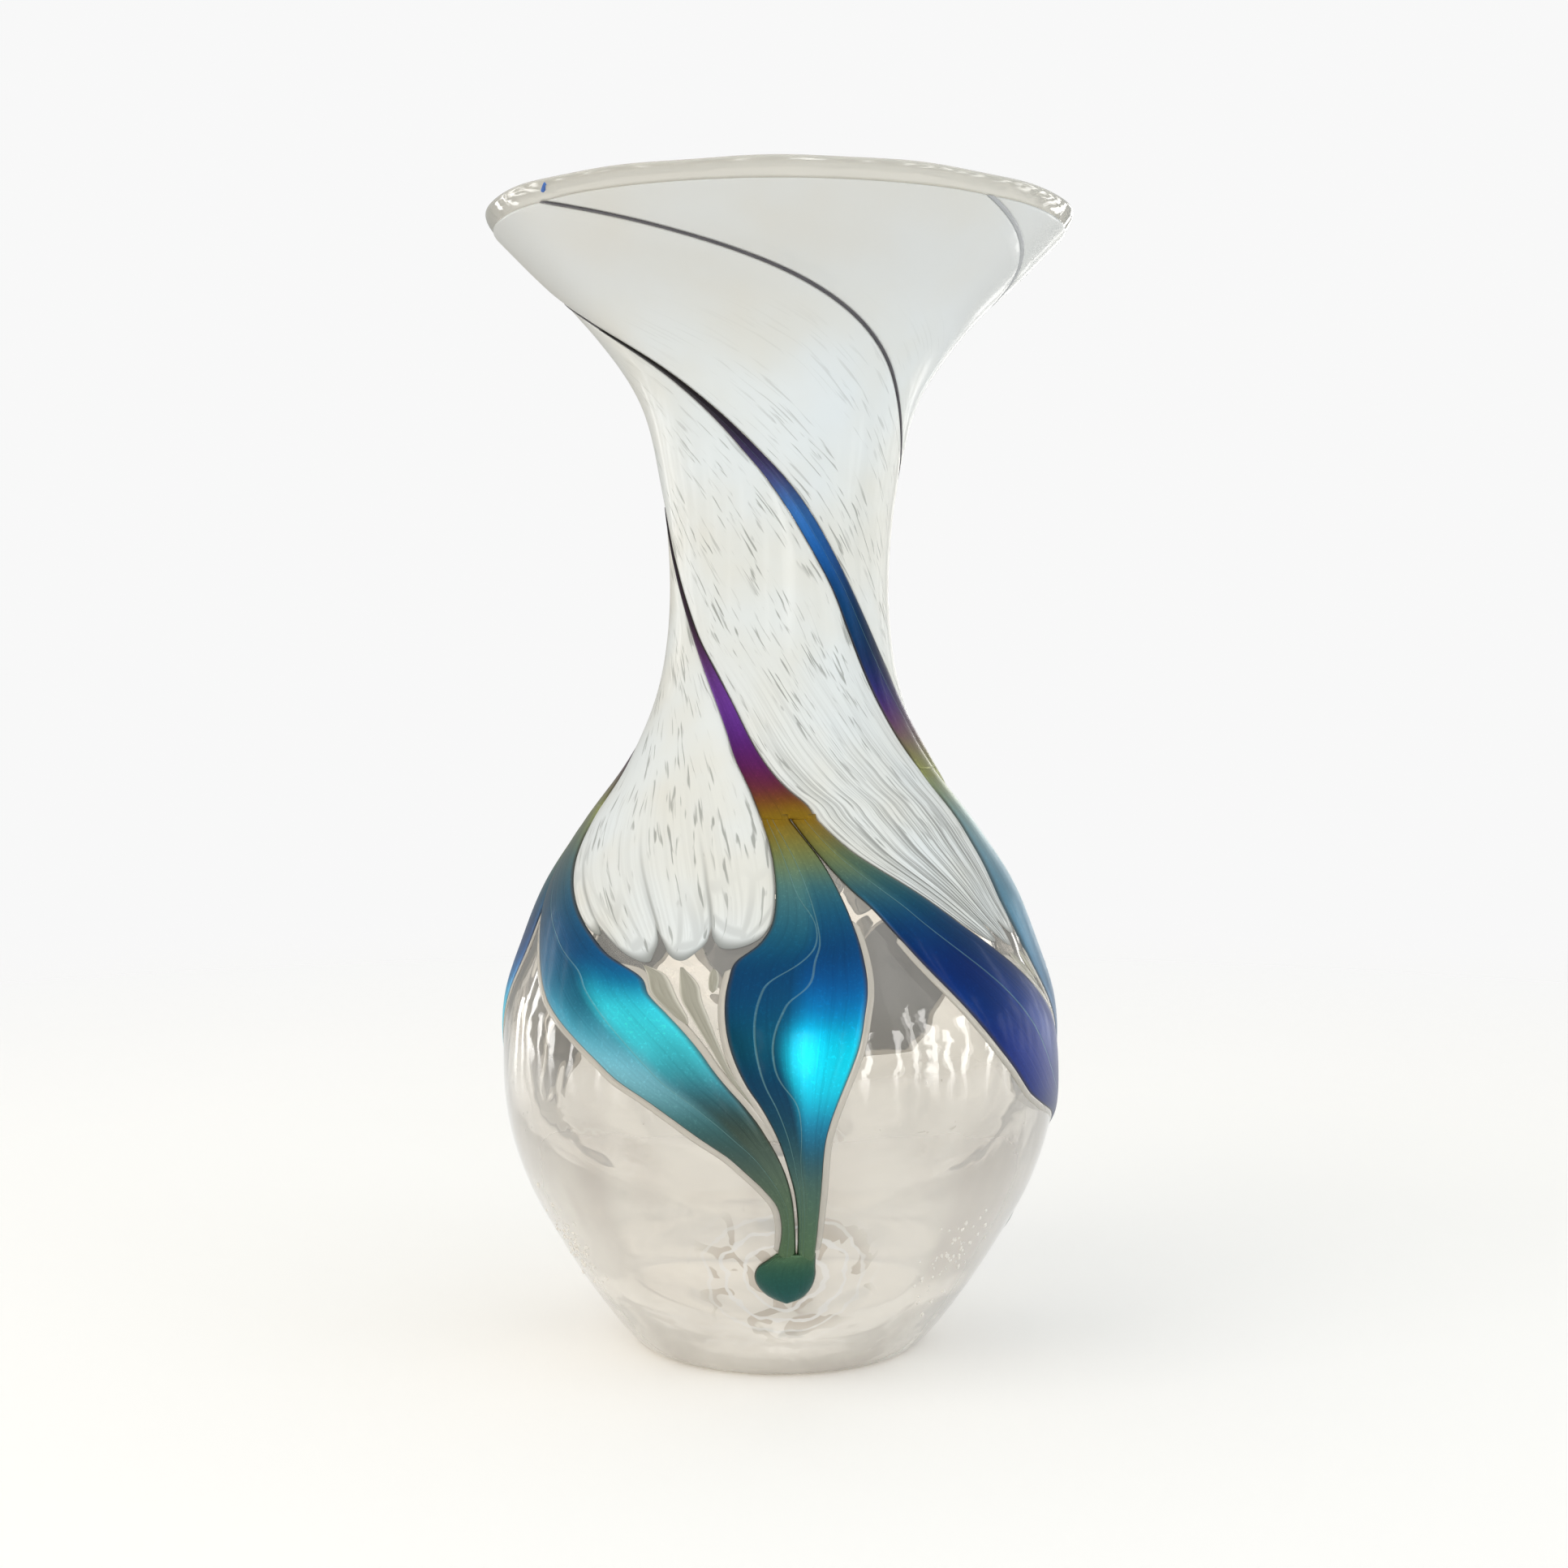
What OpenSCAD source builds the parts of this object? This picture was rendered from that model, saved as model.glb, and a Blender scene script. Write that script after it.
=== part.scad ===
// Hand blown art glass vase: a clear glass bulb on a heavy base, a narrow neck and a wide flared mouth.
// Iridescent bits are laid round the bulb, pulled up into leaves and twisted up the neck.
// White chip panels fill the spaces between the tails.
// +Z is up, and the origin is the centre of the foot on the resting face. Millimetres.

/* [Vase] */
// Height from the resting face to the top of the lip
vase_h = 275; // [250:1:300]
// Diameter of the flared mouth where the lip begins
mouth_d = 139; // [120:1:150]
// Largest diameter of the bulb
bulb_d = 134.8; // [120:0.2:150]
// Smallest diameter of the neck
neck_d = 53; // [44:1:64]
// Diameter of the foot
foot_d = 68; // [60:1:80]

/* [Glass] */
// Wall thickness of the blown body
wall = 4; // [3:0.1:5]
// Part of the wall that is the inner gather
inner_share = 0.45; // [0.35:0.05:0.6]
// Thickness of the solid floor
floor_t = 18; // [12:1:22]
// Depth of the ground hollow under the foot
pontil_depth = 2.5; // [1.5:0.1:4]
// Diameter of the ground hollow under the foot
pontil_d = 42; // [30:1:48]
// Height of the clear lip wrap
lip_h = 4.5; // [3:0.1:6]

/* [Decoration] */
// Thickness of a leaf at its middle
leaf_t = 1.2; // [0.6:0.1:1.8]
// Thickness of a tail at its middle
tail_t = 0.9; // [0.5:0.1:1.4]
// Thickness of a thread
thread_t = 0.5; // [0.3:0.1:0.8]
// Half the width of a thread
thread_half_w = 0.3; // [0.2:0.05:0.8]
// Height of a root drop above the body
drop_t = 2.2; // [1:0.1:3]
// Thickness of a white chip panel
panel_t = 0.6; // [0.4:0.1:1]
// Thickness of a grey finger
finger_t = 0.7; // [0.4:0.1:1]
// Radius of the blue fleck in the lip
fleck_r = 1.3; // [0.8:0.1:1.6]

/* [Hidden] */
FEATHERS = 4;

// Every height below is a height on a vase 275 tall, and is stretched by z_scale.
design_h = 275;
z_scale = vase_h / design_h;
lip_z = design_h - lip_h / z_scale;
belly_z = 68;
neck_z = 190;
round_fn = 96;
row_step = 3;
// Edge thickness of every applied piece, and the space left between neighbours
edge_t = 0.12;
joint_gap = 0.15;
// How far an applied piece's back stands off the body, so that its flat facets clear the curve
seat = 0.03;

// Outline as [share of the stretch's height, share of its swell], from foot to belly, neck and mouth
foot_to_belly = [
    [0, 0], [0.06, 0.12], [0.15, 0.265], [0.26, 0.425], [0.41, 0.615], [0.59, 0.815], [0.79, 0.955], [1, 1]
];
belly_to_neck = [
    [0.13, 0.975], [0.245, 0.866], [0.36, 0.726], [0.475, 0.504],
    [0.59, 0.264], [0.72, 0.09], [0.85, 0.012], [1, 0]
];
neck_to_mouth = [[0.25, 0.053], [0.5, 0.177], [0.72, 0.465], [0.89, 0.795], [1, 1]];

foot_r = foot_d / 2;
belly_r = bulb_d / 2;
neck_r = neck_d / 2;
mouth_r = mouth_d / 2;

function mix(a, b, t) = a + (b - a) * t;
function clamp01(t) = max(0, min(1, t));
function ease(x, a, b) = let (t = clamp01((x - a) / (b - a))) t * t * (3 - 2 * t);

profile = concat(
    [for (p = foot_to_belly) [p[0] * belly_z, mix(foot_r, belly_r, p[1])]],
    [for (p = belly_to_neck) [mix(belly_z, neck_z, p[0]), mix(neck_r, belly_r, p[1])]],
    [for (p = neck_to_mouth) [mix(neck_z, lip_z, p[0]), mix(neck_r, mouth_r, p[1])]]
);

// A smooth curve through [x, y] points: cubic pieces whose slopes come from the neighbouring points
function piece_at(p, x, i = 0) = (i >= len(p) - 2 || x < p[i + 1][0]) ? i : piece_at(p, x, i + 1);
function slope_at(p, i) =
    let (a = max(0, i - 1), b = min(len(p) - 1, i + 1))
    (p[b][1] - p[a][1]) / (p[b][0] - p[a][0]);
function curve(p, x) =
    let (
        i = piece_at(p, x),
        h = p[i + 1][0] - p[i][0],
        t = clamp01((x - p[i][0]) / h),
        m0 = slope_at(p, i) * h,
        m1 = slope_at(p, i + 1) * h
    )
    (1 + 2 * t) * pow(1 - t, 2) * p[i][1] + t * pow(1 - t, 2) * m0
    + t * t * (3 - 2 * t) * p[i + 1][1] + t * t * (t - 1) * m1;

function outer_r(z) = curve(profile, z);
function outer_slope(z) = (outer_r(z + 0.5) - outer_r(z - 0.5)) / z_scale;
// Sideways thickness that gives a true thickness t across a sloping wall
function sideways(t, z) = t * sqrt(1 + pow(outer_slope(z), 2));

// A surface t inside the outer one, closed by a rounded bottom at floor_z
function shell_r(z, t, floor_z) =
    let (drop = clamp01((belly_z - z) / (belly_z - floor_z)))
    (outer_r(z) - sideways(t, z)) * sqrt(1 - pow(drop, 3));
cavity_floor = floor_t / z_scale;
gather_floor = (floor_t - wall * inner_share) / z_scale;
function cavity_r(z) = shell_r(z, wall, cavity_floor);
function gather_r(z) = shell_r(z, wall * (1 - inner_share), gather_floor);

// Heights for a surface of revolution, close together where a rounded bottom closes
wall_steps = 80;
wall_crowding = 1.4;
function wall_rows(from) = [for (i = [0 : wall_steps]) mix(from, lip_z, pow(i / wall_steps, wall_crowding))];
function gather_outline() = [for (z = wall_rows(gather_floor)) [gather_r(z), z * z_scale]];
function cavity_outline() = [for (z = wall_rows(cavity_floor)) [cavity_r(z), z * z_scale]];
function reversed(p) = [for (i = [len(p) - 1 : -1 : 0]) p[i]];

// Feathers, numbered from the front towards +X. Each is one bit of iridescent glass.
root_angle = [1.5, 95, 180, 256];
junction_angle = [-1, 94, 187, 271];
lip_angle = [-1, 94, 189, 283];
junction_z = [130, 140, 130, 130];
full_tail = [false, true, false, true];
tail_top_z = [204, 246, 204, 246];
drop_top_z = 35;
stem_z = 60;
full_turn = 360;
// Heights between which a leaf leans over, and between which a tail's line moves to its place at the lip
lean_from = 45;
lean_to = 125;
line_from = 130;
line_to = 200;

function turns(k) = floor(k / FEATHERS) * full_turn;
function wrap(k) = (k + FEATHERS) % FEATHERS;
function pick(list, k) = list[wrap(k)];

// Twist of the neck, as [height, degrees turned]
twist = [
    [130, 0], [137, -5], [145, -13.5], [157, -27], [173, -48], [190, -71], [208, -95],
    [217, -110], [227, -128], [238, -150], [251, -180.5], [263, -216], [271, -242]
];
function tail_line(k, z) = mix(pick(junction_angle, k), pick(lip_angle, k), ease(z, line_from, line_to));
function tail_angle(k, z) = turns(k) + tail_line(k, z) + curve(twist, z);

// Degrees from the tail's own line to its two edges, as [height, degrees]
slender_left = [[130, -4.5], [142, -4.6], [150, -3], [165, -2.6], [173, -2.2], [188, -1.6], [205, -1.1]];
slender_right = [
    [130, 12], [133.5, 11.6], [137, 8.2], [142, 6.6], [157, 5.8], [165, 4.3], [173, 2.2], [205, 1.1]
];
full_left = [
    [130, -23], [144, -21.5], [157, -17], [174, -8.5], [184, -4.3], [212, -4.2], [222, -3], [246, -1]
];
full_right = [
    [130, 9], [144, 10], [157, 9], [174, 8.5], [192, 8.1], [202, 7], [212, 4.6], [222, 3.4],
    [228, 2.6], [238, 1.9], [246, 1]
];
function tail_left(k, z) = tail_angle(k, z) + curve(pick(full_tail, k) ? full_left : slender_left, z);
function tail_right(k, z) = tail_angle(k, z) + curve(pick(full_tail, k) ? full_right : slender_right, z);

// Where the two leaves of a feather meet its tail
function crotch(k) = let (z = pick(junction_z, k)) mix(tail_left(k, z), tail_right(k, z), 0.52);

// Leaf edges as [height, degrees]. A leaf stands on its root and leans over to its junction.
upright_left_a = [
    [35, 2.2], [43, 2], [50, 1.2], [55, 0.1], [61, -1.4], [68, -4.2], [74, -7.4], [81, -9.8], [88, -10.8],
    [94, -10.5], [100, -8.5], [104, -3.2], [109, -0.7], [116, -0.2], [124, -1.7]
];
upright_right_a = [
    [35, 6.4], [50, 6.8], [61, 7.6], [68, 9.6], [81, 14.8], [88, 16.8], [94, 18.3], [101, 18.3],
    [108, 17], [115, 14.8], [122, 11.2]
];
upright_left_b = [
    [35, 2.2], [43, 2], [55, 0], [61, -2], [67, -6], [75, -12], [84, -20], [90, -24],
    [97, -27], [104, -29.4], [112, -27], [121, -25.6]
];
upright_right_b = [
    [35, 6.4], [50, 6.8], [61, 7.6], [68, 9.6], [78, 14], [88, 15.5], [96, 13], [104, 8], [112, 3], [121, -4]
];
slanted_left_a = [
    [35, -1.9], [41, -1.2], [47, -2.4], [52, -6.2], [58, -12], [63, -19], [68, -25.7], [72, -33],
    [77, -40], [82, -47.7], [87, -55.7], [93, -62.8], [99, -69], [106, -76.6], [113, -83], [121, -91]
];
slanted_right_a = [
    [35, 2.2], [41, 1.9], [48, 1.2], [54, -0.2], [60, -2.6], [67, -6.4], [75, -12.6], [82, -17.6],
    [87, -22.5], [92, -28.5], [97, -33], [99.5, -41], [105, -50.5], [107, -54], [114, -64.3], [121, -74]
];
slanted_left_b = [
    [35, -1.9], [44, -1.5], [50, -4], [56, -13.4], [64, -33], [72.6, -42.4], [81, -50], [90, -57.3],
    [98, -64], [105, -69.5], [111, -74.4], [116, -79.6], [121, -84]
];
slanted_right_b = [
    [35, 2.2], [44, 1.8], [50, 0.8], [56, -1.7], [62, -4.4], [70, -9.8], [79.5, -16], [87, -24.5],
    [93.6, -32.5], [99.3, -40.5], [106, -50.5], [113, -60], [118, -68], [123, -75.8]
];
leaf_shape = ["a", "b", "a", "a"];
slant_shape = ["a", "b", "b", "a"];
slant_span = [92.5, 96, 96, 92.5];

// A leaf above its stem is stretched so that it ends at its junction, which isn't always at the same height
usual_junction_z = 130;
function shape_z(z, top) = z < stem_z ? z : mix(stem_z, top, (z - stem_z) / (usual_junction_z - stem_z));
function upright_points(k, shape) =
    let (top = pick(junction_z, k), from = pick(root_angle, k), to = pick(junction_angle, k))
    [for (p = shape) [shape_z(p[0], top), p[1] + turns(k) + mix(from, to, ease(p[0], lean_from, lean_to))]];
function slanted_points(k, shape) =
    let (
        from = pick(root_angle, k) + turns(k),
        to = pick(junction_angle, k - 1) + turns(k - 1),
        full = (from - to) / pick(slant_span, k)
    )
    [for (p = shape)
        [shape_z(p[0], pick(junction_z, k - 1)), from + p[1] * mix(1, full, ease(p[0], lean_from, lean_to))]];

// The edges of the leaves of all feathers, worked out once
upright_left_edges = [for (k = [0 : FEATHERS - 1]) concat(
    upright_points(k, leaf_shape[k] == "a" ? upright_left_a : upright_left_b),
    [[junction_z[k], tail_left(k, junction_z[k])]])];
upright_right_edges = [for (k = [0 : FEATHERS - 1]) concat(
    upright_points(k, leaf_shape[k] == "a" ? upright_right_a : upright_right_b),
    [[junction_z[k], crotch(k)]])];
slanted_left_edges = [for (k = [0 : FEATHERS - 1]) concat(
    slanted_points(k, slant_shape[k] == "a" ? slanted_left_a : slanted_left_b),
    [[pick(junction_z, k - 1), crotch(k - 1)]])];
slanted_right_edges = [for (k = [0 : FEATHERS - 1]) concat(
    slanted_points(k, slant_shape[k] == "a" ? slanted_right_a : slanted_right_b),
    [[pick(junction_z, k - 1), tail_right(k - 1, pick(junction_z, k - 1))]])];
function upright_left(k, z) = curve(pick(upright_left_edges, k), z) + turns(k);
function upright_right(k, z) = curve(pick(upright_right_edges, k), z) + turns(k);
function slanted_left(k, z) = curve(pick(slanted_left_edges, k), z) + turns(k);
function slanted_right(k, z) = curve(pick(slanted_right_edges, k), z) + turns(k);

// The space between feather k and feather k + 1
function space_left(k, z) = z > pick(junction_z, k) ? tail_right(k, z) : slanted_right(k + 1, z);
function space_right(k, z) = z > pick(junction_z, k + 1) ? tail_left(k + 1, z) : upright_left(k + 1, z);

// Applied pieces. A piece is a stack of level rows, and each row runs between two angles.
function gap_angle(z) = joint_gap / outer_r(z) * 180 / PI;
function place(angle, r, z) = [r * sin(angle), -r * cos(angle), z * z_scale];
function dome(t) = sqrt(max(0, 1 - pow(2 * t - 1, 2)));

// One grid point: height and angle, with the thickness there
function front_point(p) = place(p[0], outer_r(p[1]) + sideways(p[2], p[1]), p[1]);
function back_point(p) = place(p[0], outer_r(p[1]) + seat, p[1]);

// A closed skin over a grid of [angle, z, thickness] points, rows from low to high, each from left to right
module skin(grid) {
    rows = len(grid);
    cols = len(grid[0]);
    size = rows * cols;
    front = [for (row = grid) for (p = row) front_point(p)];
    back = [for (row = grid) for (p = row) back_point(p)];
    corners = [for (i = [0 : rows - 2]) for (j = [0 : cols - 2]) i * cols + j];
    front_faces = [for (c = corners) each [[c, c + cols + 1, c + 1], [c, c + cols, c + cols + 1]]];
    back_faces = [for (c = corners) let (b = c + size)
        each [[b, b + 1, b + cols + 1], [b, b + cols + 1, b + cols]]];
    edge = concat(
        [for (j = [0 : cols - 1]) j],
        [for (i = [1 : rows - 1]) i * cols + cols - 1],
        [for (j = [cols - 2 : -1 : 0]) (rows - 1) * cols + j],
        [for (i = [rows - 2 : -1 : 1]) i * cols]
    );
    rim_faces = [for (i = [0 : len(edge) - 1]) let (a = edge[i], b = edge[(i + 1) % len(edge)])
        each [[a, b, b + size], [a, b + size, a + size]]];
    faces = concat(front_faces, back_faces, rim_faces);
    polyhedron(points = concat(front, back), faces = faces, convexity = 6);
}

// A row of a band between two edges, thick along its middle, with its points closest together at the edges
function half_wave(t) = (1 - cos(180 * t)) / 2;
function band_row(left, right, z, t, cols) = [
    for (j = [0 : cols])
        let (across = half_wave(j / cols))
        [mix(left, right, across), z, mix(edge_t, t, dome(across))]
];

module inner_gather() {
    color([0.92, 0.95, 0.94, 0.35])
    rotate_extrude($fn = round_fn)
    polygon(concat(gather_outline(), reversed(cavity_outline())));
}

pontil_steps = 8;
foot_round = 1.5;
module outer_casing() {
    pontil = [
        for (i = [0 : pontil_steps])
            [pontil_d / 2 * i / pontil_steps, pontil_depth * (1 - pow(i / pontil_steps, 2))]
    ];
    outline = concat(
        pontil,
        [[foot_r - foot_round, 0], [foot_r - foot_round / 3, foot_round / 5]],
        [for (z = [foot_round : row_step : lip_z - 1]) [outer_r(z), z * z_scale]],
        [[outer_r(lip_z), lip_z * z_scale]],
        reversed(gather_outline())
    );
    color([0.93, 0.94, 0.92, 0.35])
    rotate_extrude($fn = round_fn)
    polygon(outline);
}

// The lip leans outwards with the flare and is rounded all over
lip_in = cavity_r(lip_z);
lip_out = outer_r(lip_z);
lip_lean = 0.8 * lip_h;
lip_swell = 0.35;
lip_step = 12;
function lip_point(a) = [
    (lip_in + lip_out) / 2 + (lip_out - lip_in) / 2 * cos(a) * (1 + lip_swell * sin(a)) + lip_lean * sin(a),
    lip_z * z_scale + lip_h * sin(a)
];
fleck_angle = -48;
// How far the fleck lies round the bead, from the bead's outer edge towards its top
fleck_on_bead = 32;
module fleck() {
    spot = lip_point(fleck_on_bead);
    translate([spot[0] * sin(fleck_angle), -spot[0] * cos(fleck_angle), spot[1]])
    sphere(r = fleck_r, $fn = 24);
}

module lip_wrap() {
    color([0.93, 0.95, 0.93, 0.4])
    difference() {
        rotate_extrude($fn = round_fn)
        polygon([for (a = [0 : lip_step : 180]) lip_point(a)]);
        fleck();
    }
}

module blue_fleck() {
    color([0.12, 0.25, 0.62])
    fleck();
}

// The blob at the low end of a feather, which its two stems stand on
drop_left = [
    [22, -0.3], [23, -3.2], [24.4, -5.2], [26, -6.5], [28.3, -7.3],
    [30.5, -6.8], [32.2, -5.6], [34, -3], [35, -1.9]
];
drop_right = [[22, 0.9], [23, 4], [24.4, 5.4], [26, 6.3], [28.3, 6.9], [31, 6.7], [35, 6.4]];
drop_heights = [22.1, 22.8, 24.2, 26.5, 29, 31.5, 33.5, drop_top_z - joint_gap];
drop_mid_z = 28.5;
drop_half_h = 7;
drop_end_share = 0.45;
drop_cols = 6;
function drop_swell(z) = mix(drop_end_share, 1, sqrt(max(0, 1 - pow((z - drop_mid_z) / drop_half_h, 2))));
module root_drop(k) {
    color([0.08, 0.36, 0.33])
    skin([for (z = drop_heights)
        band_row(root_angle[k] + curve(drop_left, z), root_angle[k] + curve(drop_right, z),
            z, drop_t * drop_swell(z), drop_cols)]);
}

leaf_cols = 5;
leaf_rows = 25;
function leaf_heights(top) = [for (i = [0 : leaf_rows]) mix(drop_top_z, top - joint_gap, i / leaf_rows)];
module upright_leaf(k) {
    color([0.05, 0.42, 0.72])
    skin([for (z = leaf_heights(junction_z[k])) let (gap = gap_angle(z))
        band_row(upright_left(k, z) + gap, upright_right(k, z) - gap, z, leaf_t, leaf_cols)]);
}

module slanted_leaf(k) {
    color([0.07, 0.36, 0.66])
    skin([for (z = leaf_heights(pick(junction_z, k - 1))) let (gap = gap_angle(z))
        band_row(slanted_left(k, z) + gap, slanted_right(k, z) - gap, z, leaf_t, leaf_cols)]);
}

tail_rows = 24;
tail_cols = 4;
module tail(k) {
    color([0.35, 0.16, 0.55])
    skin([for (i = [0 : tail_rows]) let (z = mix(junction_z[k], tail_top_z[k] - joint_gap, i / tail_rows))
        band_row(tail_left(k, z) + gap_angle(z), tail_right(k, z) - gap_angle(z),
            z, mix(tail_t, thread_t, i / tail_rows), tail_cols)]);
}

// Half the angle that a thread covers on a level, wider where the thread runs nearly level
function thread_half_angle(k, z) =
    let (side = outer_r(z) * PI / 180 * (tail_angle(k, z + 0.5) - tail_angle(k, z - 0.5)) / z_scale)
    thread_half_w * sqrt(1 + side * side) / outer_r(z) * 180 / PI;
thread_rows = 30;
thread_cols = 2;
module thread(k) {
    color([0.10, 0.09, 0.14])
    skin([for (i = [0 : thread_rows])
        let (z = mix(tail_top_z[k], lip_z - joint_gap, i / thread_rows), half = thread_half_angle(k, z))
        band_row(tail_angle(k, z) - half, tail_angle(k, z) + half, z, thread_t, thread_cols)]);
}

// Lobes along the low edge of each white panel, hanging from one height,
// as [share across the panel at which the lobe ends, height of its tip]
lobe_top_z = 107;
lobes = [
    [[0.34, 101], [0.66, 99.5], [1, 102]],
    [[0.2, 102.5], [0.5, 99], [0.78, 100], [1, 103]],
    [[0.14, 103.5], [0.45, 98.8], [0.74, 99.6], [1, 102.5]],
    [[0.11, 103.5], [0.47, 98.6], [0.74, 99.4], [1, 102.2]]
];
lobe_cols = 4;

// A panel stops at each edge clear of what lies beside it, and of the threads beyond the tails' ends
function panel_left(k, z) =
    gap_angle(z) + (z > pick(tail_top_z, k) ? tail_angle(k, z) + thread_half_angle(k, z) : space_left(k, z));
function panel_right(k, z) =
    (z > pick(tail_top_z, k + 1) ? tail_angle(k + 1, z) - thread_half_angle(k + 1, z) : space_right(k, z))
    - gap_angle(z);
panel_rows = 36;
// Rows lie closer at both ends of a panel, where its edges turn fastest
panel_crowding = 0.85;
function panel_share(t) = mix(t, half_wave(t), panel_crowding);
module white_panel(k) {
    cols = len(lobes[k]) * lobe_cols;
    color([0.93, 0.93, 0.90])
    skin([for (i = [0 : panel_rows]) [for (j = [0 : cols])
        let (
            n = min(floor(j / lobe_cols), len(lobes[k]) - 1),
            across = j / lobe_cols - n,
            u = mix(n == 0 ? 0 : lobes[k][n - 1][0], lobes[k][n][0], across),
            low_z = mix(lobe_top_z, lobes[k][n][1], dome(across)),
            z = mix(low_z, lip_z - joint_gap, panel_share(i / panel_rows)),
            on_edge = i == 0 || i == panel_rows || j == 0 || j == cols
        )
        [mix(panel_left(k, z), panel_right(k, z), u), z, on_edge ? edge_t : panel_t]
    ]]);
}

// Grey chips drawn down into the V between two leaves,
// as [share across the V, top height, low height, half width]
long_fingers = [[0.2, 98, 86, 3.1], [0.56, 98, 68, 3.3], [0.85, 98, 93, 1.2]];
short_fingers = [[0.3, 98, 89, 1.6], [0.72, 98, 91, 1.2]];
finger_rows = 9;
finger_cols = 4;
// Widest a finger is, as a share of the V, and how narrow its ends are
finger_share = 0.17;
finger_end_share = 0.12;
module finger(k, f) {
    skin([for (i = [0 : finger_rows])
        let (
            z = mix(f[2], f[1], i / finger_rows),
            left = space_left(k, z),
            right = space_right(k, z),
            widest = min(f[3] / outer_r(z) * 180 / PI, finger_share * (right - left)),
            half = widest * mix(finger_end_share, 1, dome(i / finger_rows)),
            middle = mix(left, right, f[0])
        )
        band_row(middle - half, middle + half, z, finger_t, finger_cols)]);
}
module grey_fingers(k) {
    color([0.66, 0.65, 0.61])
    for (f = pick(leaf_shape, k + 1) == "b" ? short_fingers : long_fingers) finger(k, f);
}

inner_gather();
outer_casing();
lip_wrap();
blue_fleck();
for (k = [0 : FEATHERS - 1]) {
    root_drop(k);
    slanted_leaf(k);
    upright_leaf(k);
    tail(k);
    thread(k);
    white_panel(k);
    grey_fingers(k);
}
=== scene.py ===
"""Looks of the blown art glass vase: clear bulb, opal white neck, iridescent feathers twisted up the neck.

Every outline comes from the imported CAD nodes, so each visible piece lies exactly where its node does.
Lengths are millimetres until a mesh is made, angles are degrees from the front towards +X.
"""

import math
import random

import bmesh
import bpy
import numpy as np
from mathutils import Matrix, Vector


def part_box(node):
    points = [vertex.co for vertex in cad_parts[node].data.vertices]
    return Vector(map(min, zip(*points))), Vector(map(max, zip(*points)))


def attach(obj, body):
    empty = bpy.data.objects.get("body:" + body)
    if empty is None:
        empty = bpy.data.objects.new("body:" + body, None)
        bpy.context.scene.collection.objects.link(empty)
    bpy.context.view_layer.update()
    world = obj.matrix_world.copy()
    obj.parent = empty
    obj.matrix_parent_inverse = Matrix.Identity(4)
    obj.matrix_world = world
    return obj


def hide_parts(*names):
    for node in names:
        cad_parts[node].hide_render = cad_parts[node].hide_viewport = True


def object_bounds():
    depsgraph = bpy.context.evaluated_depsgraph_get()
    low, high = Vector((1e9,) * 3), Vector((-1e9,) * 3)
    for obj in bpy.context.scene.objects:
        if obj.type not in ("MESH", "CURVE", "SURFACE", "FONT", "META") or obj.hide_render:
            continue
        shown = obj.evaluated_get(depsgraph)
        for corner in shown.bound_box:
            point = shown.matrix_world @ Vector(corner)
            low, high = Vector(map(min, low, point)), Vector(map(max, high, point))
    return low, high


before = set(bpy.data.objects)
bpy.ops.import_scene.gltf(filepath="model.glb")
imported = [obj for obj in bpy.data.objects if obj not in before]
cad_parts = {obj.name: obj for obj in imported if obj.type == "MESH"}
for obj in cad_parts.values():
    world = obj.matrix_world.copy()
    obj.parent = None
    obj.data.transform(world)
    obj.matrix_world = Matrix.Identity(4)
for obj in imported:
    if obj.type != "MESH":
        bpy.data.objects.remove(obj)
cad_low, cad_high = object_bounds()

MM = 0.001
FEATHERS = (1, 2, 3, 4)
# The ground hollow under the foot lies below this height
UNDERSIDE_TOP = 2.6
rng = random.Random(7)


# ---- small maths
def mix(a, b, t):
    return a + (b - a) * t


def clamp(t, low=0.0, high=1.0):
    return max(low, min(high, t))


def ease(x, a, b):
    t = clamp((x - a) / (b - a))
    return t * t * (3 - 2 * t)


def half_wave(t):
    return (1 - math.cos(math.pi * t)) / 2


def dome(t, power=2.0):
    """0 at both ends of 0..1 and 1 in the middle. A higher power gives steeper ends and a flatter top."""
    return max(0.0, 1 - abs(2 * t - 1) ** power) ** (1 / power)


class Curve:
    """A smooth curve through [x, y] points, the same one the CAD uses."""

    def __init__(self, points):
        self.x = [p[0] for p in points]
        self.y = [p[1] for p in points]

    def slope(self, i):
        a, b = max(0, i - 1), min(len(self.x) - 1, i + 1)
        return (self.y[b] - self.y[a]) / (self.x[b] - self.x[a])

    def __call__(self, x):
        i = int(np.searchsorted(self.x, x, side="right")) - 1
        i = min(max(i, 0), len(self.x) - 2)
        h = self.x[i + 1] - self.x[i]
        t = clamp((x - self.x[i]) / h)
        start, end = self.slope(i) * h, self.slope(i + 1) * h
        return (
            (1 + 2 * t) * (1 - t) ** 2 * self.y[i] + t * (1 - t) ** 2 * start
            + t * t * (3 - 2 * t) * self.y[i + 1] + t * t * (t - 1) * end
        )


# ---- what the CAD nodes say
def node_arrays(name):
    """Points in millimetres, triangles, and face normals of a CAD node."""
    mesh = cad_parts[name].data
    points = np.zeros(len(mesh.vertices) * 3)
    mesh.vertices.foreach_get("co", points)
    faces = np.zeros(len(mesh.polygons) * 3, int)
    mesh.polygons.foreach_get("vertices", faces)
    normals = np.zeros(len(mesh.polygons) * 3)
    mesh.polygons.foreach_get("normal", normals)
    return points.reshape(-1, 3) / MM, faces.reshape(-1, 3), normals.reshape(-1, 3)


def rounded_pairs(pairs, key, step):
    """One averaged pair for each level of pairs[key], in rising order."""
    levels = {}
    for pair in pairs:
        levels.setdefault(round(pair[key] / step), []).append(pair)
    return [tuple(np.mean(levels[level], axis=0)) for level in sorted(levels)]


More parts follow.
